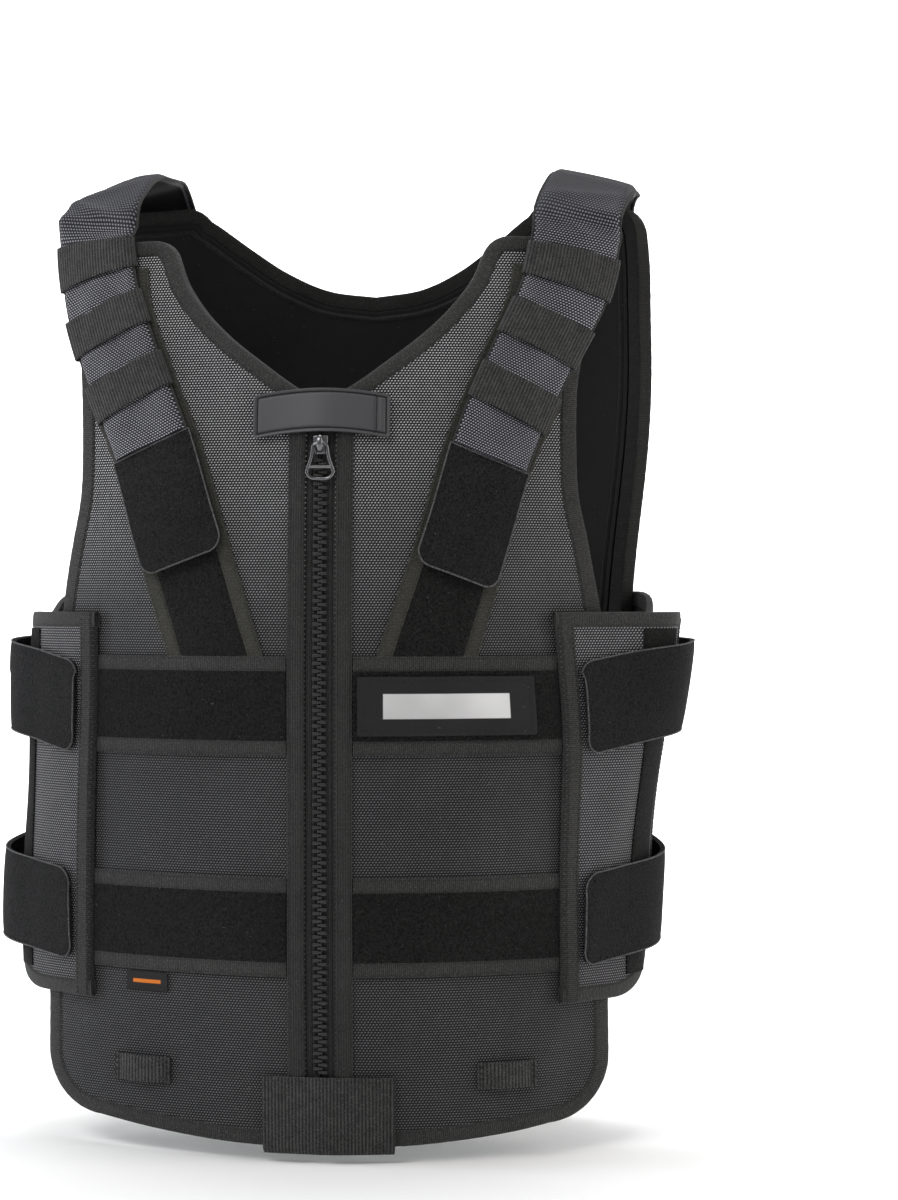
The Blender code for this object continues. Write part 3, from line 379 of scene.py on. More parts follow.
# %% Bands and bindings
def band(name, side, first, second, top, thickness, finish, slot, mirror=False, columns=None,
         node=None, dip=0.00025, shape=None, **more):
    first, second = np.array(first, float), np.array(second, float)
    width = float(np.linalg.norm(second - first, axis=1).mean())
    columns = columns or max(4, steps(width))
    u = np.linspace(0, 1, columns + 1)[None, :, None]
    line = first[:, None, :] * (1 - u) + second[:, None, :] * u
    edge = np.minimum(u[..., 0], 1 - u[..., 0]) * width
    lift = top - dip * np.exp(-(edge / 0.0012) ** 2) * np.ones((len(first), 1))
    if shape is not None:
        lift = lift + shape(line[..., 0], line[..., 1], u[..., 0] * np.ones_like(lift))
    points = lay(side, line[..., 0], line[..., 1], lift, mirror)
    return laid(name, points, finish, thickness, slot, node, **more)


FOLD = ((1.0, 0.10), (0.97, 0.55), (0.85, 0.85), (0.5, 0.98), (0.2, 0.90), (0.06, 0.55), (0.0, 0.0))


def binding(name, side, line, width, faces, finish, slot, mirror=False, node=None, closed=False,
            bulge=0.0009, **more):
    """Tape folded round an edge. faces are the lifts of the cloth's two faces."""
    high, low = faces
    upper = [(width * w, high + bulge * h) for w, h in FOLD]
    steps_down = 5
    side_part = [(-0.0002, high + (low - high) * k / steps_down) for k in range(1, steps_down)]
    lower = [(width * w, low - bulge * h) for w, h in reversed(FOLD)]
    profile = upper + side_part + lower
    line = np.array(line, float)
    pucker = 0.00010 * np.sin(np.arange(len(line)) * 2.4)
    columns = []
    for by, lift in profile:
        moved = inset(line, by, closed)
        columns.append(lay(side, moved[:, 0], moved[:, 1], lift + pucker, mirror))
    points = np.stack(columns, axis=1)
    if closed:
        points = np.concatenate((points, points[:1]), axis=0)
    return laid(name, points, finish, 0.0007, slot, node, folded=True, bevel=0, **more)


# %% [markdown]
# ## Thread
# Lockstitch shows as short, fat dashes of thread that lie in a row. One stitch is modelled, and
# a row is copies of its mesh, each turned along the seam. Rows are gathered by where they are and
# made into a few meshes at the end.

# %% Sewing
STITCH_PITCH = 0.0031
rows_of_stitches = {}


def sew_points(group, points, outs):
    """A row of stitches through dense points in space."""
    run = np.concatenate(([0.0], np.cumsum(np.linalg.norm(np.diff(points, axis=0), axis=1))))
    count = max(2, int(run[-1] / STITCH_PITCH))
    at = (np.arange(count) + 0.5) * run[-1] / count
    read = lambda values, places: np.stack([np.interp(places, run, values[:, k]) for k in range(3)], 1)
    way = read(points, at + 0.0006) - read(points, at - 0.0006)
    rows_of_stitches.setdefault(group, []).append((read(points, at), way, read(outs, at)))


def sew(group, side, line, lift, mirror=False):
    """A row of stitches on the form, through the corners of a flat line."""
    line = spaced(line, steps(length_of(line), 0.002))
    points = lay(side, line[:, 0], line[:, 1], lift, mirror)
    higher = lay(side, line[:, 0], line[:, 1], lift + 0.001, mirror)
    sew_points(group, points, higher - points)


def both_sides(maker):
    maker("right", False)
    maker("left", True)


# %% [markdown]
# ## Finishes
# Black cloth is dark but never plain: the weave, the ribs and the nap tell one tape from another.
# The effects that several finishes share are node groups that read the UV map or the place, both
# in metres. This small bench adds nodes and joins them, so that a finish reads as a short list.

# %% Node bench
class Bench:
    def __init__(self, tree):
        self.tree = tree

    def put(self, socket, value):
        if isinstance(value, bpy.types.NodeSocket):
            self.tree.links.new(value, socket)
        elif value is not None:
            socket.default_value = value

    def add(self, kind, *values, **settings):
        node = self.tree.nodes.new("ShaderNode" + kind)
        for key, value in settings.items():
            setattr(node, key, value)
        for socket, value in zip(node.inputs, values):
            self.put(socket, value)
        return node

    def math(self, operation, a, b=None, c=None, clamp=False):
        return self.add("Math", a, b, c, operation=operation, use_clamp=clamp).outputs[0]

    def mix(self, share, first, second, blend="MIX"):
        node = self.tree.nodes.new("ShaderNodeMix")
        node.data_type = "RGBA"
        node.blend_type = blend
        for index, value in ((0, share), (6, first), (7, second)):
            if isinstance(value, tuple):
                value = (*value, 1.0)
            self.put(node.inputs[index], value)
        return node.outputs[2]

    def blend(self, share, first, second):
        """A number between two numbers."""
        return self.math("MULTIPLY_ADD", self.math("SUBTRACT", second, first), share, first)

    def ramp(self, value, low, high):
        node = self.add("MapRange", value, low, high, 0.0, 1.0)
        node.interpolation_type = "SMOOTHSTEP"
        return node.outputs[0]

    def noise(self, vector, scale, detail=2.0, roughness=0.5):
        node = self.tree.nodes.new("ShaderNodeTexNoise")
        values = {"Vector": vector, "Scale": scale, "Detail": detail, "Roughness": roughness}
        for name, value in values.items():
            self.put(node.inputs[name], value)
        return node.outputs[0]


def new_group(name, inputs, outputs):
    tree = bpy.data.node_groups.new(name, "ShaderNodeTree")
    for label, kind, value in inputs:
        socket = tree.interface.new_socket(label, in_out="INPUT", socket_type=kind)
        if value is not None:
            socket.default_value = value
    for label in outputs:
        tree.interface.new_socket(label, in_out="OUTPUT", socket_type="NodeSocketFloat")
    bench = Bench(tree)
    return tree, bench, tree.nodes.new("NodeGroupInput"), tree.nodes.new("NodeGroupOutput")


# %% [markdown]
# ### The dotted weave
# The panels' heavy nylon is woven so that each thick yarn comes up as a small dot, and every
# second row of dots is shifted by half a step. The dots' brightness is a painted sheen, given in
# the finishes. The group counts rows, shifts every second one and rounds what is left of each cell
# into a slanted dot.

# %% Dotted weave group
VECTOR, FLOAT = "NodeSocketVector", "NodeSocketFloat"
weave, bench, given, result = new_group(
    "dotted_weave", (("Flat", VECTOR, None), ("Across", FLOAT, 0.00213), ("Up", FLOAT, 0.00168)),
    ("Dots", "Height"))
apart = bench.add("SeparateXYZ", given.outputs["Flat"])
rows_up = bench.math("DIVIDE", apart.outputs[1], given.outputs["Up"])
shift = bench.math("MULTIPLY", bench.math("FLOORED_MODULO", bench.math("FLOOR", rows_up), 2.0), 0.5)
columns_across = bench.math("ADD", bench.math("DIVIDE", apart.outputs[0], given.outputs["Across"]), shift)
in_cell = [bench.math("SUBTRACT", bench.math("FRACT", value), 0.5) for value in (columns_across, rows_up)]
slant = bench.math("MULTIPLY_ADD", in_cell[1], -0.35, in_cell[0])
far = bench.math("ADD", bench.math("POWER", bench.math("MULTIPLY", slant, 2.0), 2.0),
                 bench.math("POWER", bench.math("MULTIPLY", in_cell[1], 2.2), 2.0))
dots = bench.ramp(far, 0.54, 0.10)
bench.put(result.inputs["Dots"], dots)
bench.put(result.inputs["Height"], bench.math("SUBTRACT", 1.0, far, clamp=True))

# %% [markdown]
# ### Ribs
# Webbing and binding tape show fine ribs along or across. The group turns a distance into a row of
# round ribs, and crosses them with a finer, weaker set, as the filling yarns do.

# %% Rib group
ribs, bench, given, result = new_group(
    "ribs", (("Flat", VECTOR, None), ("Rib", FLOAT, 0.0016), ("Cross", FLOAT, 0.0009),
             ("Turned", FLOAT, 0.0)), ("Ribs", "Grid"))
apart = bench.add("SeparateXYZ", given.outputs["Flat"])
first = bench.blend(given.outputs["Turned"], apart.outputs[0], apart.outputs[1])
second = bench.blend(given.outputs["Turned"], apart.outputs[1], apart.outputs[0])
turns = [bench.math("DIVIDE", at, given.outputs[size]) for at, size in ((first, "Rib"), (second, "Cross"))]
wave, cross = (bench.math("SINE", bench.math("MULTIPLY", turn, 2 * math.pi)) for turn in turns)
bench.put(result.inputs["Ribs"], bench.math("MULTIPLY_ADD", wave, 0.5, 0.5))
crossed = bench.math("MULTIPLY", wave, cross)
bench.put(result.inputs["Grid"], bench.math("MULTIPLY_ADD", crossed, 0.5, 0.5))

# %% [markdown]
# ### Nap and handling
# Loop and hook tape have a nap of tiny loops: fine clumps with a few that catch the light. Every
# finish also gets uneven tone from handling, and a little lint that black cloth always picks up.

# %% Nap and handling groups
nap, bench, given, result = new_group(
    "nap", (("Flat", VECTOR, None), ("Size", FLOAT, 0.0016)), ("Nap", "Specks"))
scale = bench.math("DIVIDE", 1.0, given.outputs["Size"])
clumps = bench.noise(given.outputs["Flat"], scale, 3.0, 0.65)
fine = bench.noise(given.outputs["Flat"], bench.math("MULTIPLY", scale, 2.7), 1.0, 0.5)
both = bench.math("MULTIPLY_ADD", fine, 0.5, bench.math("MULTIPLY", clumps, 0.5))
bench.put(result.inputs["Nap"], bench.ramp(both, 0.34, 0.66))
bench.put(result.inputs["Specks"], bench.ramp(fine, 0.62, 0.74))

handling, bench, given, result = new_group(
    "handling", (("Place", VECTOR, None), ), ("Tone", "Lint"))
touched = bench.noise(given.outputs["Place"], 9.0, 3.0, 0.55)
bench.put(result.inputs["Tone"], bench.ramp(touched, 0.30, 0.70))
dust = bench.noise(given.outputs["Place"], 520.0, 1.0, 0.4)
bench.put(result.inputs["Lint"], bench.ramp(dust, 0.745, 0.80))
print("shared effects:", [group.name for group in bpy.data.node_groups])


# %% [markdown]
# ### From effects to finishes
# A finish is one material: its shader, the shared effects that it uses and its own colours. The
# yarns stand up by less than a millimetre, so a bump is enough for them. Each kind of cloth has one
# function, which takes its darkest and lightest colour.

# %% Finish helpers
def placed(bench, tree, **values):
    node = bench.tree.nodes.new("ShaderNodeGroup")
    node.node_tree = tree
    for name, value in values.items():
        bench.put(node.inputs[name], value)
    return node


def start_finish(name):
    """A new material with its shader, and the flat and solid coordinates that patterns read."""
    finish = bpy.data.materials.new(name)
    finish.use_nodes = True
    bench = Bench(finish.node_tree)
    shader = finish.node_tree.nodes["Principled BSDF"]
    place = bench.tree.nodes.new("ShaderNodeTexCoord")
    return finish, bench, shader, place.outputs["UV"], place.outputs["Object"]


def close_finish(bench, shader, colour, roughness, height, depth, sheen=0.0, specular=0.22):
    bench.put(shader.inputs["Base Color"], colour)
    bench.put(shader.inputs["Roughness"], roughness)
    bump = bench.tree.nodes.new("ShaderNodeBump")
    bump.inputs["Distance"].default_value = depth
    bench.put(bump.inputs["Height"], height)
    bench.put(shader.inputs["Normal"], bump.outputs[0])
    shader.inputs["Sheen Weight"].default_value = sheen
    shader.inputs["Sheen Roughness"].default_value = 0.5
    shader.inputs["Specular IOR Level"].default_value = specular


LINT_COLOUR = (0.10, 0.10, 0.10)
UNEVEN = 0.22


def handled(bench, place, colour):
    """The colour with uneven tone and lint, as handling leaves it."""
    touch = placed(bench, handling, Place=place)
    share = bench.math("MULTIPLY", touch.outputs["Tone"], UNEVEN)
    toned = bench.mix(share, colour, (0.0, 0.0, 0.0))
    return bench.mix(bench.math("MULTIPLY", touch.outputs["Lint"], 0.5), toned, LINT_COLOUR)


# %% [markdown]
# ### Three kinds of cloth
# Woven cloth shows dots, tape shows ribs, and loop and hook tape show nap. The dots' brightness is
# a painted sheen, and not all the dots catch the light: those on the belly and on top of the
# shoulders get painted shade and stay dim. So a dotted cloth is given the heights where its dots
# are dimmest and brightest, and the share that the dimmest ones keep.

# %% Cloth finishes
def woven(name, dark, light, lit, sizes=(0.00213, 0.00168)):
    """Dotted cloth whose dots carry a painted sheen. lit holds the heights of its dimmest and brightest dots,
    where painted shade dims them, and the least share.
    """
    finish, bench, shader, flat, place = start_finish(name)
    cloth = placed(bench, weave, Flat=flat, Across=sizes[0], Up=sizes[1])
    dim_height, lit_height, least = lit
    height = bench.add("SeparateXYZ", place).outputs[2]
    # Painted light and shade: the dots' pale colour is a painted sheen, full above lit_height and dimmed to
    # the least share below dim_height.
    catch = bench.math("MULTIPLY_ADD", bench.ramp(height, dim_height, lit_height), 1.0 - least, least)
    slub = bench.math("MULTIPLY_ADD", bench.noise(flat, 90.0, 2.0, 0.6), 0.5, 0.75)
    dot = bench.math("MULTIPLY", cloth.outputs["Dots"], bench.math("MULTIPLY", slub, catch))
    colour = handled(bench, place, bench.mix(dot, dark, light))
    gloss = bench.math("MULTIPLY_ADD", dot, -0.22, 0.62)
    close_finish(bench, shader, colour, gloss, cloth.outputs["Height"], 0.00025, 0.05)
    return finish


def ribbed(name, dark, light, rib, cross, turned=0.0, depth=0.00022, roughness=0.72, grid=0.35,
           fleck=0.0):
    """Ribbed tape. rib and cross are its pitches, grid how much the cross ribs count, and fleck
    how much its filling yarns show as light points. Turned tape has its ribs across."""
    finish, bench, shader, flat, place = start_finish(name)
    tape = placed(bench, ribs, Flat=flat, Rib=rib, Cross=cross, Turned=turned)
    height = bench.math("MULTIPLY_ADD", tape.outputs["Grid"], grid, tape.outputs["Ribs"])
    worn = bench.ramp(bench.noise(flat, 130.0, 3.0, 0.6), 0.25, 0.80)
    wear = bench.math("MULTIPLY_ADD", worn, 0.6, 0.4)
    share = bench.math("MULTIPLY", bench.ramp(height, 0.2, 1.25), wear)
    if fleck:
        points = bench.ramp(bench.noise(flat, 780.0, 1.0, 0.5), 0.50, 0.72)
        share = bench.math("MULTIPLY_ADD", points, fleck, share)
    colour = handled(bench, place, bench.mix(share, dark, light))
    close_finish(bench, shader, colour, roughness, height, depth, 0.06)
    return finish


def napped(name, dark, light, size=0.0016, depth=0.0007, sheen=0.03):
    finish, bench, shader, flat, place = start_finish(name)
    pile = placed(bench, nap, Flat=place, Size=size)
    soft = bench.math("MULTIPLY", pile.outputs["Nap"], 0.65)
    share = bench.math("MULTIPLY_ADD", pile.outputs["Specks"], 0.35, soft)
    colour = handled(bench, place, bench.mix(share, dark, light))
    close_finish(bench, shader, colour, 0.96, pile.outputs["Nap"], depth, sheen, 0.12)
    return finish


# %% [markdown]
# ### This vest's finishes
# Every cloth is black, each in its own way: the panels have dots with a painted sheen, bindings are
# a flat grey, webbing is ribbed, loop and hook tape swallow the light, and their cut edges are pale.

# %% This vest's cloths
# The light colour of each dotted cloth is its painted sheen; the three heights set its painted shade.
panel_cloth = woven("panel_cloth_dressed", (0.005, 0.005, 0.0065), (0.530, 0.530, 0.540),
                    (-0.36, -0.14, 0.23))
wing_cloth = woven("wing_cloth_dressed", (0.005, 0.005, 0.0065), (0.330, 0.326, 0.345),
                   (-0.60, -0.28, 0.65))
pad_cloth = woven("pad_cloth_dressed", (0.010, 0.010, 0.0145), (0.390, 0.390, 0.430),
                  (-0.012, -0.066, 0.20), (0.0020, 0.0016))
binding_tape = ribbed("binding_tape_dressed", (0.014, 0.014, 0.0137), (0.053, 0.053, 0.051),
                      0.0013, 0.0012, 1.0, fleck=1.1)
lining_tape = ribbed("lining_tape_dressed", (0.008, 0.008, 0.0078), (0.026, 0.026, 0.024),
                     0.0013, 0.0012, 1.0, fleck=0.7)
diagonal_tape = ribbed("diagonal_tape_dressed", (0.020, 0.020, 0.016), (0.062, 0.060, 0.048),
                       0.0010, 0.0009, 1.0, fleck=0.9)
webbing_across = ribbed("webbing_across_dressed", (0.005, 0.005, 0.005), (0.070, 0.070, 0.067),
                        0.0021, 0.0016, 1.0, 0.00045, grid=0.7, fleck=0.4)
webbing_along = ribbed("webbing_along_dressed", (0.004, 0.004, 0.004), (0.078, 0.078, 0.076),
                       0.0022, 0.0014, 0.0, 0.00060, grid=0.6, fleck=0.6)
zip_webbing = ribbed("zip_webbing_dressed", (0.012, 0.012, 0.0115), (0.040, 0.040, 0.039),
                     0.0016, 0.0012, 0.0, 0.0002, grid=0.6, fleck=0.9)
lining_cloth = ribbed("lining_dressed", (0.0045, 0.0045, 0.0048), (0.011, 0.011, 0.0115),
                      0.0007, 0.0007, 0.0, 0.00006, 0.62)
thread = ribbed("thread_dressed", (0.006, 0.006, 0.006), (0.030, 0.030, 0.030),
                0.0004, 0.0004, 1.0, 0.00005, 0.55)
loop_nap = napped("loop_nap_dressed", (0.0025, 0.0025, 0.0025), (0.030, 0.030, 0.029), 0.0019)
hook_nap = napped("hook_nap_dressed", (0.0033, 0.0033, 0.0036), (0.038, 0.038, 0.040), 0.0017)
cut_edge = napped("cut_edge_dressed", (0.03, 0.03, 0.031), (0.22, 0.22, 0.225), 0.0012, 0.0003, 0.10)
print("cloth finishes:", len(bpy.data.materials))

# %% [markdown]
# ## Front panels
# Each half of the front is a padded panel: nylon outside, lining inside, a soft panel between.
# Its four edges are drawn as lines, the area between them is filled like a patch of cloth, and
# the weave follows the true distance from the zip, so its rows run level over both halves.

# %% Front outline
ZIP_EDGE = 0.0095
TAPE = 0.010
PANEL = 0.009
GAP = 0.0004
FRONT_HEM = ((ZIP_EDGE, -0.642), (0.060, -0.6405), (0.110, -0.636))
FRONT_HEM_CORNER = {"centre": (0.148, -0.591), "radius": 0.040}
FRONT_SIDE = ((0.188, -0.540), (0.189, -0.420), (0.187, -0.330), (0.182, -0.290), (0.175, -0.252),
              (0.169, -0.222), (0.1675, -0.190), (0.168, -0.150), (0.171, -0.105))
FRONT_SHOULDER_CORNER = {"centre": (0.155, -0.069), "radius": 0.017}
FRONT_NECK_CORNER = {"centre": (0.1180, -0.069), "radius": 0.017}
FRONT_NECKLINE = ((0.0945, -0.082), (0.080, -0.102), (0.0625, -0.119), (0.042, -0.135),
                  (0.0215, -0.150), (ZIP_EDGE, -0.157))


def front_edges(columns, rows, neck_rows):
    hem = smooth_line(FRONT_HEM + tuple(arc(FRONT_HEM_CORNER, -90, -90)[:1]), 6)
    hem += arc(FRONT_HEM_CORNER, -90, -45)
    side = arc(FRONT_HEM_CORNER, -45, 0)
    shoulder = arc(FRONT_SHOULDER_CORNER, 0, 45)
    side += smooth_line(side[-1:] + list(FRONT_SIDE) + shoulder[:1], 6) + shoulder
    top = arc(FRONT_SHOULDER_CORNER, 45, 90) + arc(FRONT_NECK_CORNER, 90, 135)
    neck = arc(FRONT_NECK_CORNER, 135, 165)
    neck += smooth_line(neck[-1:] + list(FRONT_NECKLINE), 6)
    return [spaced(line, count) for line, count in
            ((hem, columns), (side, rows), (top, columns), (neck, neck_rows))]


def joined(edges):
    return np.concatenate([edge[:-1] for edge in edges] + [edges[-1][-1:]])


def parted(line, edges):
    parts, start = [], 0
    for edge in edges:
        parts.append(line[start:start + len(edge)])
        start += len(edge) - 1
    return parts


def filled(bottom, right, top, left):
    """A grid of flat points between four edge lines."""
    u = np.linspace(0, 1, len(bottom))[None, :, None]
    v = np.linspace(0, 1, len(left))[:, None, None]
    across = bottom[None] * (1 - v) + top[None] * v
    up = left[:, None] * (1 - u) + right[:, None] * u
    corners = ((bottom[0] * (1 - u) + bottom[-1] * u) * (1 - v) + (top[0] * (1 - u) + top[-1] * u) * v)
    return across + up - corners


def cloth_flat(side, grid, sign):
    """The weave's coordinates: distance from the middle, and height."""
    table = front_far if side == "front" else back_far
    a, z = grid[..., 0], grid[..., 1]
    far = look_up(table, ACROSS, np.abs(a), z) - look_up(table, ACROSS, 0.0 * a, z)
    return np.stack((np.where(a < 0, -sign, sign) * far, z), axis=-1)


# %% [markdown]
# A panel's cloth stops short of its outline, inside the binding that closes its edge. It could be
# cut from a plane with a curve, but a grid between the four edges keeps the faces even, and the
# zip's edge straight.

# %% Front panels and their bindings
FRONT_CELLS = (44, 140, 46)
edges = front_edges(*FRONT_CELLS)
outline = joined(edges)
tucked = parted(inset(outline, 0.004), edges)
for line in (tucked[0][:1], tucked[3][-1:]):
    line[:, 0] = ZIP_EDGE
zip_edge = spaced([tucked[0][0], tucked[3][-1]], FRONT_CELLS[1] - FRONT_CELLS[2])
front_grid = filled(tucked[0], tucked[1], tucked[2][::-1], np.concatenate((zip_edge, tucked[3][::-1][1:])))
seam_line = inset(outline, TAPE - 0.0012)


def front_half(name, mirror):
    sign = -1 if mirror else 1
    points = lay("front", front_grid[..., 0], front_grid[..., 1], 0.0, mirror)
    piece = laid(f"front_panel_cloth_{name}", points, panel_cloth, PANEL, "panel_cloth",
                 f"front_panel_{name}", cloth_flat("front", front_grid, sign), inside=lining_cloth)
    binding(f"front_binding_{name}", "front", outline, TAPE, (0.0, -PANEL), binding_tape,
            "edge_tape", mirror, f"front_edge_tape_{name}")
    sew("front", "front", seam_line, 0.0009, mirror)


both_sides(front_half)
print("front outline:", round(length_of(outline), 3), "m of binding on each half")

# %% [markdown]
# ## Back panel
# The back is one panel with a square top and a scooped neck. Inside it shows a smooth lining with
# a piping line a finger's width from the edge.

# %% Back outline
BACK_HEM = ((0.000, -0.602), (0.060, -0.602))
BACK_HEM_CORNER = {"centre": (0.126, -0.552), "radius": 0.049}
BACK_SIDE = ((0.180, -0.500), (0.188, -0.420), (0.194, -0.300), (0.197, -0.160), (0.1975, -0.080))
BACK_SHOULDER_CORNER = {"centre": (0.1735, -0.041), "radius": 0.022}
BACK_NECK_CORNER = {"centre": (0.1270, -0.0312), "radius": 0.016}
BACK_NECKLINE = ((0.105, -0.0285), (0.084, -0.0440), (0.061, -0.0590), (0.033, -0.0710), (0.000, -0.0755))


def mirrored_line(line):
    return np.array([(-x, z) for x, z in line[::-1]])


def back_edges(half, rows):
    hem = smooth_line(BACK_HEM + tuple(arc(BACK_HEM_CORNER, -90, -90)[:1]), 6)
    hem += arc(BACK_HEM_CORNER, -90, -45)
    side = arc(BACK_HEM_CORNER, -45, 0)
    shoulder = arc(BACK_SHOULDER_CORNER, 0, 45)
    side += smooth_line(side[-1:] + list(BACK_SIDE) + shoulder[:1], 6) + shoulder
    top = arc(BACK_SHOULDER_CORNER, 45, 80) + arc(BACK_NECK_CORNER, 80, 150)
    top += smooth_line(top[-1:] + list(BACK_NECKLINE), 6)
    hem, side, top = spaced(hem, half), spaced(side, rows), spaced(top, half)
    return [np.concatenate((mirrored_line(hem)[:-1], hem)), side,
            np.concatenate((top, mirrored_line(top)[1:])), mirrored_line(side)]


def back_filled(by):
    moved = inset(joined(back_rim)[:-1], by, closed=True)
    hem, side, top, left = parted(np.concatenate((moved, moved[:1])), back_rim)
    return filled(hem, side, top[::-1], left[::-1])


# %% [markdown]
# The lining is a sheet of its own. It is sewn in all round, so it stays stretched over the padding,
# and its flat size is measured along the cloth. Its piping is a low roll just inside its edge.

# %% Back panel, binding and lining
back_rim = back_edges(46, 140)
back_grid = back_filled(0.004)
back_piece = laid("back_panel_cloth", lay("back", back_grid[..., 0], back_grid[..., 1], 0.0),
                  panel_cloth, PANEL, "panel_cloth", "back_panel", cloth_flat("back", back_grid, 1),
                  inside=lining_cloth)
back_outline = joined(back_rim)[:-1]
binding("back_binding", "back", back_outline, TAPE, (0.0, -PANEL), lining_tape, "edge_tape",
        node="back_edge_tape", closed=True)
back_seam = inset(back_outline, TAPE - 0.0012, closed=True)
sew("back", "back", np.concatenate((back_seam, back_seam[:1])), 0.0009)


def back_inside(by, lift):
    grid = back_filled(by)
    return lay("back", grid[..., 0], grid[..., 1], lift), cloth_flat("back", grid, 1)


points, flat = back_inside(0.0104, -PANEL - 0.0003)
lining = laid("back_lining_cloth", points, lining_cloth, 0.0012, "lining", "back_lining", flat)
sides = flat[1:, 1:] - flat[:-1, :-1], flat[:-1, 1:] - flat[1:, :-1]
ring = []
for k in range(9):
    moved = inset(back_outline, 0.0140 + 0.0030 * k / 8, closed=True)
    moved = np.concatenate((moved, moved[:1]))
    ring.append(lay("back", moved[:, 0], moved[:, 1], -PANEL - 0.0014 - 0.0014 * math.sin(math.pi * k / 8)))
laid("lining_piping", np.stack(ring, axis=1)[:, ::-1], lining_tape, 0.0004, "edge_tape", bevel=0)
print("back outline:", round(length_of(back_outline), 3), "m")

# %% [markdown]
# ## Zip
# A moulded zip shows two rows of teeth that grip each other, on a woven tape, between two facing
# strips. One tooth is modelled: a block whose head is wider than its neck. Copies go down the
# tape, the left ones shifted by half a step and turned round. The right tape's edge passes under
# the left one's, so no light shows between them.

# %% Facings and tapes
FACING = (ZIP_EDGE + GAP, 0.021)
FACING_HEIGHTS = (-0.6305, -0.172)
TAPE_HEIGHTS = (-0.6300, -0.1690)
TEETH_HEIGHTS = (-0.5950, -0.1970)
TOOTH_PITCH = 0.0050


def tall(a0, a1, heights, cell=CELL):
    rows = steps(heights[1] - heights[0], cell)
    return upright(a0, heights, rows), upright(a1, heights, rows)


def zip_side(name, mirror):
    band(f"zip_facing_tape_{name}", "front", *tall(*FACING, FACING_HEIGHTS), 0.0019, 0.0016,
         zip_webbing, "webbing", mirror, node=f"zip_facing_{name}")
    for a in (FACING[0] + 0.0017, FACING[1] - 0.0017):
        sew("front", "front", upright(a, FACING_HEIGHTS, 2), 0.00185, mirror)
    inner = 0.00005 if mirror else -0.0010
    band(f"zip_tape_cloth_{name}", "front", *tall(inner, ZIP_EDGE + 0.0006, TAPE_HEIGHTS), -0.0014, 0.0014,
         zip_webbing, "webbing", mirror, columns=24, node=f"zip_tape_{name}",
         shape=lambda a, z, u: (0.0009 * np.exp(-((a - 0.0066) / 0.0009) ** 2)
                                - (inner < 0) * 0.0017 * (1 - eased(a, 0.0001, 0.0014))))


both_sides(zip_side)
print("zip tapes:", round(TAPE_HEIGHTS[1] - TAPE_HEIGHTS[0], 3), "m long")

# %% [markdown]
# The finishes of the hard parts are short. Moulded plastic is faintly rough, the slider and its
# pull are painted metal with a gloss, and leather has a fine pebble under a soft shine.

# %% Hard finishes
def hard(name, colour, roughness, metallic=0.0, grain=900.0, depth=0.00003, coat=0.0):
    finish, bench, shader, flat, place = start_finish(name)
    touch = placed(bench, handling, Place=place)
    lighter = tuple(2.2 * c for c in colour)
    worn = bench.mix(bench.math("MULTIPLY", touch.outputs["Tone"], 0.35), colour, lighter)
    rough = bench.math("MULTIPLY_ADD", touch.outputs["Tone"], 0.12, roughness)
    close_finish(bench, shader, worn, rough, bench.noise(place, grain, 2.0, 0.5), depth, specular=0.5)
    shader.inputs["Metallic"].default_value = metallic
    shader.inputs["Coat Weight"].default_value = coat
    shader.inputs["Coat Roughness"].default_value = 0.12
    return finish


teeth_plastic = hard("teeth_plastic_dressed", (0.009, 0.009, 0.009), 0.42)
gloss_metal = hard("gloss_metal_dressed", (0.110, 0.110, 0.115), 0.12, 0.85, 300.0, 0.00001, 0.8)
tab_leather = hard("tab_leather_dressed", (0.034, 0.034, 0.037), 0.44, 0.0, 1400.0, 0.00008)


def named(name):
    """The piece that was just added, with its name."""
    piece = bpy.context.object
    piece.name = piece.data.name = name
    return piece


# %% [markdown]
# A moulded tooth is a block with a thin neck and a wide head. It starts as a cube, the neck and
# the head are extruded from one face, and a bevel rounds the edges. A coarse tooth is enough,
# because the zip has over a hundred of them, each only a few millimetres wide.

# %% Zip teeth
bpy.ops.object.select_all(action="DESELECT")
bpy.ops.mesh.primitive_cube_add(size=1.0)
tooth = named("tooth")
bpy.ops.object.mode_set(mode="EDIT")
bpy.ops.transform.resize(value=(0.0036, 0.0024, 0.0023))
bpy.ops.object.mode_set(mode="OBJECT")
shape = bmesh.new()
shape.from_mesh(tooth.data)
head = [face for face in shape.faces if face.normal.x < -0.9]
neck = bmesh.ops.extrude_discrete_faces(shape, faces=head)["faces"]
for vert in {v for face in neck for v in face.verts}:
    vert.co.x -= 0.0011
    vert.co.z *= 0.62
tip = bmesh.ops.extrude_discrete_faces(shape, faces=neck)["faces"]
for vert in {v for face in tip for v in face.verts}:
    vert.co.x -= 0.0013
    vert.co.z *= 1.75
    vert.co.y *= 0.86
shape.to_mesh(tooth.data)
shape.free()
add_modifier(tooth, "BEVEL", width=0.00038, segments=2, limit_method="ANGLE", angle_limit=math.radians(30))
tooth_points = np.array([v.co for v in tooth.data.vertices])
tooth_faces = [tuple(p.vertices) for p in tooth.data.polygons]
bpy.data.objects.remove(tooth)


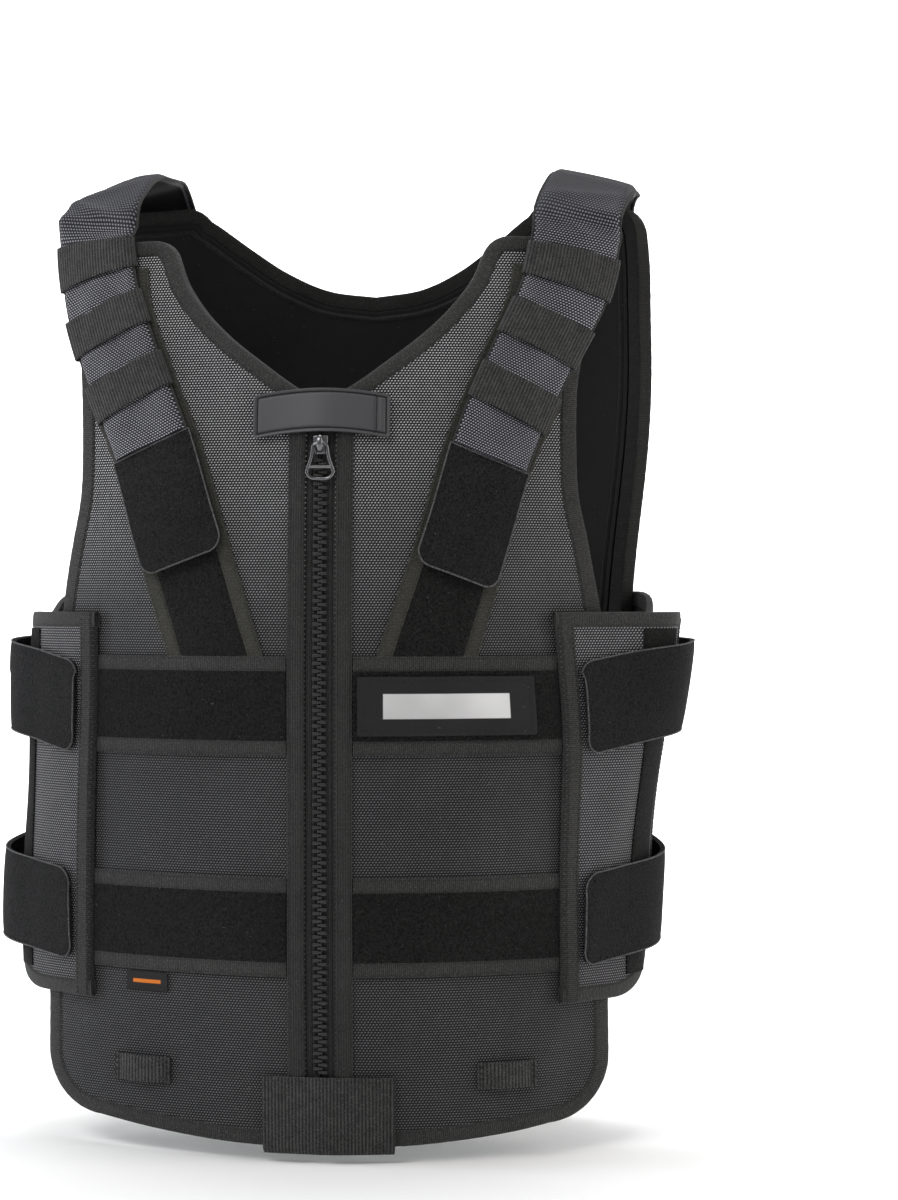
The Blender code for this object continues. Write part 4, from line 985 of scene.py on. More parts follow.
def copies(name, base_points, base_faces, frames, finish):
    """Many copies of one small mesh. Each frame is a place and three directions."""
    count = len(base_points)
    points = np.concatenate([base_points @ np.array(axes) + np.array(place) for place, axes in frames])
    faces = [tuple(k * count + i for i in face) for k in range(len(frames)) for face in base_faces]
    mesh = bpy.data.meshes.new(name)
    mesh.from_pydata(points.tolist(), [], faces)
    mesh.materials.append(finish)
    piece = bpy.data.objects.new(name, mesh)
    bpy.context.scene.collection.objects.link(piece)
    bpy.ops.object.select_all(action="DESELECT")
    piece.select_set(True)
    bpy.context.view_layer.objects.active = piece
    bpy.ops.object.mode_set(mode="EDIT")
    bpy.ops.mesh.select_all(action="SELECT")
    bpy.ops.mesh.normals_make_consistent(inside=False)
    bpy.ops.object.mode_set(mode="OBJECT")
    bpy.ops.object.shade_smooth_by_angle(angle=math.radians(40))
    return piece


tooth_frames = []
count = int((TEETH_HEIGHTS[1] - TEETH_HEIGHTS[0]) / TOOTH_PITCH)
for k in range(count):
    for turn in (1, -1):
        z = TEETH_HEIGHTS[0] + 0.002 + (k + (0.5 if turn < 0 else 0.0)) * TOOTH_PITCH
        place = lay("front", 0.0, z, 0.0002)
        place[0] = turn * 0.0028
        tooth_frames.append((place, ((turn, 0, 0), (0, 1, 0), (0, 0, 1))))
zip_rows = copies("zip_teeth_rows", tooth_points, tooth_faces, tooth_frames, teeth_plastic)
ride(zip_rows, "zip_teeth")
print("teeth:", len(tooth_frames))

# %% [markdown]
# The slider is a block with shoulders and a low bridge, and its pull is a drop-shaped loop of
# wire with a bar across it. The pull rides on its own body, so it can swing.

# %% Slider and pull
slider_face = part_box("zip_slider")[1].y
pull_low, pull_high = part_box("zip_pull")
SLIDER_Z, PULL_Z = -0.1905, -0.1897
bpy.ops.object.select_all(action="DESELECT")
bpy.ops.mesh.primitive_cube_add(size=1.0, location=(0, slider_face - 0.0022, SLIDER_Z))
slider = named("slider_body")
bpy.ops.object.mode_set(mode="EDIT")
bpy.ops.transform.resize(value=(0.0090, 0.0044, 0.0120))
bpy.ops.mesh.subdivide(number_cuts=3)
bpy.ops.object.mode_set(mode="OBJECT")
for vert in slider.data.vertices:
    up = vert.co.z / 0.006
    vert.co.x *= 1.0 + 0.10 * up - 0.16 * max(0.0, -up) ** 2
    vert.co.y -= 0.0005 * (1 - (vert.co.x / 0.0045) ** 2) * (vert.co.y < 0)
add_modifier(slider, "BEVEL", width=0.0006, segments=3, limit_method="ANGLE", angle_limit=math.radians(40))
bridge_depth = pull_high.y - 0.0009
bpy.ops.mesh.primitive_torus_add(
    major_segments=36, minor_segments=12, major_radius=0.0030, minor_radius=0.0010,
    location=(0, bridge_depth + 0.0002, PULL_Z), rotation=(0, math.radians(90), 0))
bridge = named("slider_bridge")
bpy.ops.object.mode_set(mode="EDIT")
bpy.ops.transform.resize(value=(1.9, 1.0, 1.45))
bpy.ops.object.mode_set(mode="OBJECT")
for piece in (slider, bridge):
    bpy.ops.object.select_all(action="DESELECT")
    piece.select_set(True)
    bpy.context.view_layer.objects.active = piece
    bpy.ops.object.transform_apply(location=True, rotation=True, scale=True)
    piece.data.materials.append(gloss_metal)
    bpy.ops.object.shade_smooth_by_angle(angle=math.radians(50))
ride(slider, "zip_slider")
ride(bridge)

PULL_WIRE = 0.0012
PULL_LENGTH = 0.0225
PULL_TOP = 0.0046
PULL_FOOT = 0.0088
BAR_DROP = 0.0150
right = [(0.0, 0.0), (PULL_TOP - 0.0024, 0.0), (PULL_TOP - 0.0007, -0.0008), (PULL_TOP, -0.0026),
         (PULL_TOP + 0.0010, -0.0090), (PULL_FOOT - 0.0006, -PULL_LENGTH + 0.0060),
         (PULL_FOOT - 0.0004, -PULL_LENGTH + 0.0034), (PULL_FOOT - 0.0022, -PULL_LENGTH + 0.0010),
         (PULL_FOOT - 0.0048, -PULL_LENGTH), (0.0, -PULL_LENGTH)]
loop = smooth_line(right + [(-x, z) for x, z in right[-2:0:-1]] + right[:1], 4)[:-1]


def wire(name, points, closed, radius, finish, node=None, body="vest", roundness=1):
    """A round wire or a rolled edge through the points."""
    curve = bpy.data.curves.new(name, "CURVE")
    curve.dimensions = "3D"
    curve.bevel_depth = radius
    curve.bevel_resolution = roundness
    curve.use_fill_caps = not closed
    spline = curve.splines.new("POLY")
    spline.points.add(len(points) - 1)
    for target, point in zip(spline.points, points):
        target.co = (*point, 1)
    spline.use_cyclic_u = closed
    piece = bpy.data.objects.new(name, curve)
    bpy.context.scene.collection.objects.link(piece)
    bpy.ops.object.select_all(action="DESELECT")
    piece.select_set(True)
    bpy.context.view_layer.objects.active = piece
    bpy.ops.object.convert(target="MESH")
    piece = bpy.context.object
    piece.data.materials.clear()
    piece.data.materials.append(finish)
    bpy.ops.object.shade_smooth_by_angle(angle=math.radians(60))
    return ride(piece, node, body)


pull_depth = (pull_low.y + pull_high.y) / 2
wire("pull_loop", [(x, pull_depth, z + PULL_Z) for x, z in loop], True, PULL_WIRE, gloss_metal,
     "zip_pull", "zip_pull", roundness=3)
bar_reach = PULL_TOP + (PULL_FOOT - PULL_TOP) * BAR_DROP / PULL_LENGTH
bar_z = PULL_Z - BAR_DROP
wire("pull_crossbar", [(-bar_reach, pull_depth, bar_z), (bar_reach, pull_depth, bar_z)], False, PULL_WIRE,
     gloss_metal, body="zip_pull", roundness=3)
print("pull:", round(PULL_LENGTH, 4), "m of loop, wire", PULL_WIRE * 2, "m thick")

# %% [markdown]
# ## Bands across the front
# Two bands of loop tape cross each half, for patches and pouches. Each is a field of nap between
# two narrow bindings. A third band runs up each side under the shoulder strap.

# %% Chest and waist bands
BAND_X = (0.0215, 0.1526)
BANDS = (("chest", -0.390, -0.326), ("waist", -0.532, -0.468))
EDGING = 0.0102


def level_line(a0, a1, z, columns):
    return np.stack((np.linspace(a0, a1, columns + 1), np.full(columns + 1, z)), axis=1)


def across_band(name, side, a_range, heights, top, thickness, finish, slot, mirror, node=None, **more):
    """A band that runs across: its lines go from side to side."""
    columns = steps(a_range[1] - a_range[0])
    first, second = (level_line(*a_range, z, columns) for z in heights)
    return band(name, side, first, second, top, thickness, finish, slot, mirror, node=node, **more)


def front_bands(name, mirror):
    for label, low, high in BANDS:
        across_band(f"{label}_band_nap_{name}", "front", BAND_X, (low + 0.0095, high - 0.0095), 0.0024,
                    0.0020, loop_nap, "loop_tape", mirror, f"{label}_band_{name}")
        for part, z0, z1 in (("lower", low, low + EDGING), ("upper", high - EDGING, high)):
            across_band(f"{label}_edging_{part}_{name}", "front", BAND_X, (z0, z1), 0.0022, 0.0018,
                        binding_tape, "edge_tape", mirror)
            for z in (z0 + 0.0016, z1 - 0.0016):
                sew("front", "front", [(BAND_X[0], z), (BAND_X[1] - 0.001, z)], 0.0022, mirror)


both_sides(front_bands)
print("bands:", [label for label, *heights in BANDS])

# %% [markdown]
# The third band is what the shoulder strap's hook tab grips, so it runs along the strap's own line,
# from the chest band to the shoulder. The panel's side curves in under it, so its outer line is
# the nearer of two limits: half its own width, and the binding on the panel's side.

# %% Diagonal strips
STRIP_WIDTH = 0.063
STRIP_MARGIN = 0.0098
STRIP_HEIGHTS = (-0.3262, -0.070)
STRIP_LINE = ((0.069, -0.326), (0.088, -0.268), (0.112, -0.190), (0.131, -0.145), (0.148, -0.098),
              (0.154, -0.050))
strip_keys = np.array([z for _, z in STRIP_LINE])
strip_middles = np.array([x for x, _ in STRIP_LINE])
side_xs, side_zs = edges[1][:, 0], edges[1][:, 1]
strip_z = np.linspace(*STRIP_HEIGHTS, 70)
strip_x = np.array([smooth_value(strip_keys, strip_middles, z) for z in strip_z])
strip_reach = STRIP_WIDTH / 2 * np.hypot(1, np.gradient(strip_x, strip_z))
strip_limit = np.interp(strip_z, side_zs, side_xs) - STRIP_MARGIN
strip_first = strip_x - strip_reach
strip_second = np.minimum(strip_x + strip_reach, strip_limit)


def diagonal(name, mirror):
    narrow = EDGING * np.hypot(1, np.gradient(strip_x, strip_z))
    across = (strip_first, strip_first + narrow, strip_second - narrow, strip_second)
    lines = [np.stack((x, strip_z), axis=1) for x in across]
    tuck = (0.0006, 0)
    band(f"diagonal_nap_{name}", "front", lines[1] - tuck, lines[2] + tuck, 0.0021, 0.0018, loop_nap,
         "loop_tape", mirror, node=f"diagonal_strip_{name}")
    for part, first, second in (("inner", *lines[:2]), ("outer", *lines[2:])):
        band(f"diagonal_edging_{part}_{name}", "front", first, second, 0.0020, 0.0016, diagonal_tape,
             "edge_tape", mirror)
        for share in (0.16, 0.84):
            sew("front", "front", first * (1 - share) + second * share, 0.0020, mirror)


both_sides(diagonal)
print("diagonal strip:", round(length_of(np.stack((strip_x, strip_z), axis=1)), 3), "m")

# %% [markdown]
# ## Wings
# A wing closes the gap at each side. The front wing is sewn on under an upright strip near the
# panel's edge and carries a strip of loop tape near its free edge. The back wing comes round from
# behind and slips under it. Both are bound along the top, the free edge and the round foot.

# %% Wing outlines
WING_LIFT = 0.0017
WING = 0.0040
WING_TOP = WING_LIFT + WING
FRONT_WING = {"low": -0.552, "high": -0.298, "corner": 0.055, "end": 0.003, "drop": 0.0}
BACK_WING = {"low": -0.535, "high": -0.284, "corner": 0.070, "end": -0.027, "drop": 0.018}
FRONT_SEAM_X = 0.1520
BACK_SEAM_X = 0.148
SEAM_STRIP = (0.1530, 0.1628)
WING_LOOP = (-0.040, -0.0155)


def far_at(table, x, z):
    return look_up(table, ACROSS, np.abs(np.asarray(x, float)), np.asarray(z, float))


def tucked_lift(behind):
    """The back wing's lift: on the back's face, then under the front wing."""
    t = 1 - eased(behind, 0.012, 0.046)
    return WING_LIFT + (-0.0035 - WING_LIFT) * t


def wing_outline(table, seam_x, size, towards):
    """The wing's bound edge: from the seam along the top, down the end and round the foot."""
    low, high, radius, end = size["low"], size["high"], size["corner"], size["end"]
    start = float(far_at(table, seam_x, high))
    top = [(start + (end - start) * k / 30, high) for k in range(31)]
    down = [(end, high + (low + radius - high) * k / 40) for k in range(1, 41)]
    turn = [(end - towards * radius * (1 - math.cos(a)), low + radius * (1 - math.sin(a)))
            for a in np.linspace(0, math.pi / 2, 20)[1:]]
    foot_start = float(far_at(table, seam_x, low))
    last = turn[-1][0]
    foot = [(last + (foot_start - last) * k / 16, low) for k in range(1, 17)]
    return np.array(top + down + turn + foot)


def wing_grid(table, seam_x, size, towards, by, columns, rows):
    """The wing's cloth as a flat grid, moved in from its outline."""
    low, high = size["low"] + by, size["high"] - by
    radius, end = size["corner"] - by, size["end"] - towards * by
    turned = rows // 3
    z = np.concatenate((low + radius * (1 - np.cos(np.linspace(0, math.pi / 2, turned, endpoint=False))),
                        np.linspace(low + radius, high, rows - turned + 1)))
    drop = np.clip(radius - (z - low), 0, None)
    stop = end - towards * (radius - np.sqrt(np.clip(radius ** 2 - drop ** 2, 0, None)))
    u = np.linspace(0, 1, columns + 1)[None, :]
    behind = far_at(table, np.full_like(z, seam_x), z)[:, None] * (1 - u) + stop[:, None] * u
    return np.stack((behind, np.repeat(z[:, None], columns + 1, axis=1)), axis=-1)


# %% [markdown]
# A wing is not one flat wall. On the right its top is pushed out from the body, which one smooth
# swell gives to everything that lies on it. The back wing's top falls towards its free end, and it
# tucks in under the front wing.

# %% Wings
SIDE_SWELL = {"lift": 0.013, "heights": (-0.460, -0.300), "front": (-0.090, -0.008), "rear": (0.030, 0.0)}


def swell(behind, z, mirror):
    """How far the right side's top stands off the body."""
    if mirror:
        return 0.0 * behind * z
    return (SIDE_SWELL["lift"] * eased(z, *SIDE_SWELL["heights"])
            * eased(behind, *SIDE_SWELL["front"]) * eased(behind, *SIDE_SWELL["rear"]))


def sloped(line, size):
    """The wing's top falls towards its free end, by the drop of its row."""
    behind, z = line[..., 0], line[..., 1]
    fall = size["drop"] * (1 - eased(behind, 0.000, 0.058))
    fall = fall * eased(z, size["high"] - 0.10, size["high"])
    return np.stack((behind, z - fall), axis=-1)


def wing(name, mirror, label, table, seam_x, size, towards, lift_at):
    grid = sloped(wing_grid(table, seam_x + 0.0018, size, towards, 0.003, 30, 60), size)
    points = lay("flank", grid[..., 0], grid[..., 1], lift_at(grid[..., 0], grid[..., 1]) + WING, mirror)
    piece = laid(f"{label}_wing_cloth_{name}", points, wing_cloth, WING, "panel_cloth",
                 f"{label}_wing_{name}", grid, inside=lining_cloth)
    line = sloped(wing_outline(table, seam_x, size, towards), size)
    columns, way = [], -towards
    profile = ([(TAPE * w, WING + 0.0008 * h) for w, h in FOLD] + [(-0.0002, WING * k / 4) for k in (3, 2, 1)]
               + [(TAPE * w, -0.0006 * h) for w, h in reversed(FOLD)])
    for by, lift in profile:
        behind, z = inset(line, by * way).T
        columns.append(lay("flank", behind, z, lift_at(behind, z) + lift, mirror))
    laid(f"{label}_wing_binding_{name}", np.stack(columns, axis=1), binding_tape, 0.0006, "edge_tape",
         folded=True, bevel=0)
    seam = inset(line, (TAPE - 0.0014) * way)
    behind, z = spaced(seam, steps(length_of(seam), 0.002)).T
    lift = lift_at(behind, z) + WING + 0.0009
    at = lay("flank", behind, z, lift, mirror)
    sew_points(f"{label}_wing", at, lay("flank", behind, z, lift + 0.001, mirror) - at)


def wings(name, mirror):
    wing(name, mirror, "front", front_far, FRONT_SEAM_X, FRONT_WING, 1,
         lambda behind, z: WING_LIFT + swell(behind, z, mirror))
    wing(name, mirror, "back", back_far, BACK_SEAM_X, BACK_WING, -1,
         lambda behind, z: tucked_lift(behind))
    heights = (FRONT_WING["low"], FRONT_WING["high"])
    band(f"seam_strip_tape_{name}", "front", *tall(*SEAM_STRIP, heights), WING_TOP + 0.0014, 0.0014,
         binding_tape, "edge_tape", mirror, columns=20, node=f"seam_strip_{name}", dip=0.0004,
         shape=lambda a, z, u: -0.0050 * np.clip(1 - (a - SEAM_STRIP[0]) / 0.0016, 0, 1) ** 2)
    for a in (SEAM_STRIP[0] + 0.0019, SEAM_STRIP[1] - 0.0014):
        sew("front_wing", "front", upright(a, heights, 2), WING_TOP + 0.0016, mirror)
    loop_heights = (FRONT_WING["low"] + 0.014, FRONT_WING["high"] - 0.011)
    sides = [upright(behind, loop_heights, steps(0.19)) for behind in WING_LOOP]
    band(f"wing_loop_nap_{name}", "flank", *sides, WING_TOP + 0.0013, 0.0012, loop_nap, "loop_tape",
         mirror, node=f"wing_loop_strip_{name}", shape=lambda a, z, u: swell(a, z, mirror))


both_sides(wings)
print("wings:", [name for name in made if "wing_cloth" in name])

# %% [markdown]
# ## Side straps
# Two straps of hook tape at each side hold the wings together. Their front ends have round
# corners, they stand off the wing as they go round the side, and webbing anchors them behind.

# %% Side straps and anchors
SIDE_STRAPS = (  # name, height in front, at the side and behind, standoff right and left
    ("upper", -0.361, -0.347, -0.343, 0.0085, 0.0130),
    ("lower", -0.499, -0.488, -0.474, 0.0070, 0.0125),
)
SIDE_STRAP_WIDTH = 0.060
STANDOFF_REACH = 0.052
ANCHOR_START = 0.038


def cut_in(distance, radius):
    """How far a round corner cuts in at a distance from the end."""
    short = np.clip(radius - distance, 0, radius)
    return radius - np.sqrt(radius ** 2 - short ** 2)


def outline_of(points):
    """The edge of a grid of points, as one closed line."""
    return np.concatenate((points[0], points[1:, -1], points[-1, -2::-1], points[-2:0:-1, 0]))


def side_strap(name, mirror, label, front_z, side_z, back_z, standoff_right, standoff_left):
    start = float(far_at(front_far, 0.1655, side_z))
    keys, heights = np.array([start, 0.0, 0.060]), np.array([front_z, side_z, back_z])
    behind = start + (ANCHOR_START - 2 * GAP - start) * np.linspace(0, 1, 61) ** 1.25
    half = SIDE_STRAP_WIDTH / 2 - cut_in(behind - start, 0.010)
    u = np.linspace(-1, 1, 25)
    share = np.where(np.abs(behind) < STANDOFF_REACH, np.cos(math.pi / 2 * behind / STANDOFF_REACH), 0.0) ** 2
    curl = 0.0012 * np.exp(-((behind - start) / 0.010) ** 2)
    middle = np.array([smooth_value(keys, heights, at) for at in behind])
    z = middle[:, None] + half[:, None] * u
    lift = WING_TOP + GAP + 0.0030 + (standoff_left if mirror else standoff_right) * share + curl
    lift = lift[:, None] - 0.0007 * np.abs(u) ** 6 + swell(behind[:, None], z, mirror)
    points = lay("flank", behind[:, None] + 0 * z, z, lift, mirror)
    laid(f"side_strap_{label}_pile_{name}", points, hook_nap, 0.0030, "hook_tape",
         f"side_strap_{label}_{name}", bevel=0)
    wire(f"side_strap_{label}_edge_{name}", outline_of(points), True, 0.00055, cut_edge)

    end = float(far_at(back_far, 0.163, back_z))
    along = np.linspace(ANCHOR_START, end, 16)
    z = back_z + SIDE_STRAP_WIDTH / 2 * u[None, :] + 0 * along[:, None]
    top = WING_TOP + GAP + 0.0016
    points = lay("flank", along[:, None] + 0 * z, z, top - 0.0004 * np.abs(u) ** 8, mirror)
    laid(f"side_anchor_{label}_tape_{name}", points, webbing_along, 0.0016, "webbing",
         f"side_anchor_{label}_{name}")
    box_and_cross(f"{label}_anchor", lambda s, t: ((ANCHOR_START + 0.004 + (end - ANCHOR_START - 0.008) * s),
                  back_z + (SIDE_STRAP_WIDTH / 2 - 0.004) * (2 * t - 1)), top, mirror)


def box_and_cross(group, corner, top, mirror):
    """The box with a cross that holds webbing down."""
    path = [corner(*st) for st in ((0, 0), (1, 0), (1, 1), (0, 1), (0, 0), (1, 1))]
    for line in (path, [corner(0, 1), corner(1, 0)]):
        dense = spaced(line, steps(length_of(line), 0.002))
        at = lay("flank", dense[:, 0], dense[:, 1], top, mirror)
        sew_points(group, at, lay("flank", dense[:, 0], dense[:, 1], top + 0.001, mirror) - at)


for strap_row in SIDE_STRAPS:
    both_sides(lambda name, mirror: side_strap(name, mirror, *strap_row))

# %% [markdown]
# ## Shoulder straps
# A shoulder strap leaves the chest, goes over the shoulder and lands on the back. Its middle line
# is a smooth curve through points on the chest, in the air and on the back, and every layer of
# it, the pad, the loops and the hook tab, is laid along that line at its own height.

# %% Shoulder strap line
STRAP_FRONT = ((0.0820, -0.287), (0.0880, -0.268), (0.0970, -0.240), (0.1120, -0.190), (0.1305, -0.145),
               (0.1485, -0.098), (0.1550, -0.072), (0.1580, -0.052))
STRAP_OVER = ((0.1595, -0.051, -0.0335), (0.1600, -0.033, -0.0155), (0.1600, -0.008, -0.0065),
              (0.1590, 0.018, -0.0050), (0.1575, 0.038, -0.0055), (0.1560, 0.0545, -0.0100),
              (0.1535, 0.0645, -0.0220))
STRAP_BACK = ((0.1495, -0.038), (0.1420, -0.060), (0.1280, -0.095), (0.1140, -0.130))
STRAP_LIFTS = (0.0023, 0.0012)
STRAP = 0.0050
STRAP_SIDES = {"right": {"drawn": 0.010, "slope": -0.25, "crest_x": 0.0055, "crest_z": -0.006},
               "left": {"drawn": 0.0, "slope": -0.30, "crest_x": -0.007, "crest_z": -0.006}}
CREST_SHARES = (0.35, 0.9, 1.0, 1.0, 0.6, 0.1, 0.0)


def strap_table(size):
    """The strap's line: run, points, shares on the front and the back, way across and along."""
    front = [(*on_form("front", x, z)[0], 1.0, 0.0) for x, z in STRAP_FRONT]
    over = [(x + size["crest_x"] * share, y, z + size["crest_z"] * share, 0.0, 0.0)
            for (x, y, z), share in zip(STRAP_OVER, CREST_SHARES)]
    back = [(*on_form("back", x, z)[0], 0.0, 1.0) for x, z in STRAP_BACK]
    line = np.array(smooth_line(front + over + back, 10))
    points = line[:, :3]
    run = np.concatenate(([0.0], np.cumsum(np.linalg.norm(np.diff(points, axis=0), axis=1))))
    along = np.gradient(points, run, axis=0)
    across = []
    for (x, y, z, on_front, on_back), way in zip(line, along):
        side = "front" if y < 0 else "back"
        lean = np.array((way[2], -way[0])) / math.hypot(way[2], way[0]) * (0.010 if y < 0 else -0.010)
        surface = on_form(side, x + lean[0], z + lean[1])[0] - on_form(side, x - lean[0], z - lean[1])[0]
        share = 0.0 if abs(way[2]) < 0.3 else min(max(on_front, 0.0) + max(on_back, 0.0), 1.0)
        mixed = surface / np.linalg.norm(surface) * share + np.array((1.0, 0.0, size["slope"])) * (1 - share)
        mixed -= way * mixed.dot(way) / way.dot(way)
        across.append(mixed / np.linalg.norm(mixed))
    return run, points, np.clip(line[:, 3], 0, 1), np.clip(line[:, 4], 0, 1), np.array(across), along


STRAP_LINES = {name == "left": strap_table(size) for name, size in STRAP_SIDES.items()}
STRAP_INSIDE = (0.10, 0.0, -0.16)


def strap_at(run_at, aside, lift, mirror):
    """Points aside of the strap's middle line and above its underside."""
    run_at, aside, lift = np.broadcast_arrays(run_at, aside, lift)
    run, *tables, across, along = STRAP_LINES[mirror]
    read = lambda table: np.stack([np.interp(run_at, run, table[:, k]) for k in range(3)], axis=-1)
    centre, side, way = read(tables[0]), read(across), read(along)
    front, back = (np.interp(run_at, run, share) for share in tables[1:])
    height = STRAP_LIFTS[0] * front + STRAP_LIFTS[1] * back + lift
    out = np.cross(way, side)
    out /= np.linalg.norm(out, axis=-1, keepdims=True)
    out *= np.where(out[..., 1] * centre[..., 1] + out[..., 2] * 0.06 < 0, -1.0, 1.0)[..., None]
    spot = centre + side * aside[..., None]
    flip = np.array((-1.0 if mirror else 1.0, 1.0, 1.0))
    free = (spot + out * height[..., None]) * flip
    chest = raised(*on_form("front", spot[..., 0], spot[..., 2]), height, mirror)
    rear = raised(*on_form("back", spot[..., 0], spot[..., 2]), height, mirror)
    mixed = free + (chest - free) * front[..., None] + (rear - free) * (back * (front <= 0))[..., None]
    return leaned(mixed)


def strap_run_at(mirror, z, behind=False):
    run, points = STRAP_LINES[mirror][:2]
    top = int(np.argmax(points[:, 2]))
    if behind:
        return float(np.interp(-z, -points[top:, 2], run[top:]))
    return float(np.interp(z, points[:top, 2], run[:top]))


def strap_inside(mirror):
    return (-STRAP_INSIDE[0] if mirror else STRAP_INSIDE[0], *STRAP_INSIDE[1:])


def strap_sew(run0, run1, aside0, aside1, lift, mirror):
    count = max(3, steps(abs(run1 - run0) + abs(aside1 - aside0), 0.002))
    run_at, aside = np.linspace(run0, run1, count), np.linspace(aside0, aside1, count)
    at = strap_at(run_at, aside, lift, mirror)
    sew_points("straps", at, strap_at(run_at, aside, lift + 0.001, mirror) - at)


# %% [markdown]
# The pad puffs up between the loops that hold it down and stays thin under them. Its cloth is
# crumpled there, and a few deeper folds cross it where it bends over the shoulder.

# %% Shoulder pads
LOOP_HEIGHTS = (-0.064, -0.107, -0.150)
PAD_HALF = 0.0275
PAD_FOOT, PAD_END = -0.1885, -0.062
PAD_FOLDS = {  # beyond the top loop, lean and height of each fold over the shoulder
    "left": ((0.030, 0.45, 0.0030), (0.052, -0.30, 0.0018), (0.078, 0.25, 0.0014)),
    "right": ((0.027, -0.35, 0.0024), (0.050, 0.30, 0.0016), (0.074, -0.20, 0.0012)),
}


def pad_grid(run, half, columns, height):
    """Run, aside and lift of a rounded pad: its sides fall away in a quarter turn."""
    turn = np.linspace(-1, 1, columns + 1)
    aside = half * np.sin(turn * math.pi / 2) * 0.35 + half * 0.65 * turn
    side = np.clip((np.abs(turn) - 0.80) / 0.20, 0, 1)
    lift = height[:, None] * (1 - 0.45 * side ** 2)[None, :]
    return run[:, None] + 0 * lift, aside[None, :] + 0 * lift, lift


def shoulder_pad(name, mirror, loops):
    foot, end = strap_run_at(mirror, PAD_FOOT), strap_run_at(mirror, PAD_END, True)
    run = np.linspace(foot - STRAP_SIDES[name]["drawn"], end, 131)
    puff = 1 - np.clip(sum(np.exp(-((run - at) / 0.0125) ** 4) for at in loops), 0, 1)
    crest = eased(run, loops[0] + 0.010, loops[0] + 0.030) * (1 - eased(run, end - 0.05, end - 0.02))
    height = STRAP + 0.0018 * puff * (1 - eased(run, end - 0.012, end))
    run_at, aside, lift = pad_grid(run, PAD_HALF, 28, height)
    crumple = 0.0021 * np.sin(aside / 0.0068 + 1.6 * np.sin(run_at / 0.011)) * puff[:, None]
    folds = 0.0010 * np.sin(run_at / 0.0125 + aside / 0.021 + (2.0 if mirror else 0.4)) * crest[:, None]
    for start_at, lean, height_of in PAD_FOLDS[name]:
        along = run_at - loops[0] - start_at - lean * aside
        folds = folds + height_of * np.exp(-np.abs(along / 0.0045) ** 1.5) * crest[:, None]
    lift = lift + (crumple * 0.55 * (1 - crest[:, None]) + folds) * (1 - (aside / PAD_HALF) ** 4)
    piece = laid(f"shoulder_pad_{name}", strap_at(run_at, aside, lift, mirror), pad_cloth, STRAP * 0.8,
                 "panel_cloth", f"shoulder_strap_{name}", inside_point=strap_inside(mirror),
                 inside=lining_cloth, flat=np.stack((aside, run_at - foot), axis=-1), bevel=0)
    rows = run[::2]
    for part, sign in (("inner", -1), ("outer", 1)):
        ring = [(sign * (PAD_HALF + 0.0004 + 0.0011 * math.cos(a)), 0.0030 + 0.0011 * math.sin(a))
                for a in np.linspace(0, 2 * math.pi, 9)]
        columns = [strap_at(rows, across + 0 * rows, up + 0 * rows, mirror) for across, up in ring]
        laid(f"shoulder_piping_{part}_{name}", np.stack(columns, axis=1), binding_tape, 0.0003,
             "edge_tape", folded=True, bevel=0)


# %% [markdown]
# Three webbing loops are folded over the pad's two sides. Each one's lower edge stands off a
# little, so a dark slot shows below it.

# %% Strap loops
LOOP_LENGTH, LOOP_HALF = 0.026, 0.0285


def strap_loop(name, mirror, number, middle):
    low_high = np.linspace(-0.5, 0.5, 13) * LOOP_LENGTH
    top = STRAP + 0.0023
    wrap = [(-LOOP_HALF - 0.0016, 0.0008), (-LOOP_HALF - 0.0017, 0.0026),
            (-LOOP_HALF - 0.0015, top * 0.75), (-LOOP_HALF - 0.0004, top - 0.0004)]
    flat_part = [(a, top) for a in np.linspace(-LOOP_HALF + 0.0012, LOOP_HALF - 0.0012, 21)]
    section_line = np.array(wrap + flat_part + [(-a, h) for a, h in reversed(wrap)])
    aside, lift = (section_line[None, :, k] + 0 * low_high[:, None] for k in (0, 1))
    slack = np.clip(1 - (aside / LOOP_HALF) ** 4, 0, 1)
    stand = 0.0020 * (0.5 - low_high / LOOP_LENGTH)[:, None] ** 1.5 * slack
    sway = 0.0005 * np.sin(aside / 0.009 + number * 1.9) * (lift > top * 0.9)
    run_at = (middle + low_high)[:, None] + 0.0012 * (1 - (aside / LOOP_HALF) ** 2)
    points = strap_at(run_at, aside, lift + stand + sway, mirror)
    laid(f"strap_loop_{number}_tape_{name}", points, webbing_along, 0.0014, "webbing",
         f"strap_loop_{number}_{name}", inside_point=strap_inside(mirror), bevel=0.0002)
    for share in (-0.42, 0.42):
        at = middle + share * LOOP_LENGTH
        strap_sew(at, at, LOOP_HALF - 0.001, LOOP_HALF - 0.011, top + 0.0002, mirror)
    for inset_by in (0.0035, 0.0085):
        seam_at = -LOOP_HALF + inset_by
        strap_sew(middle - 0.010, middle + 0.010, seam_at, seam_at, top + 0.0002, mirror)


# %% [markdown]
# The strap ends in a tab of hook tape, which holds it on the diagonal strip. Behind, a flat webbing
# anchor with a sewn box and cross holds the pad on the back panel.

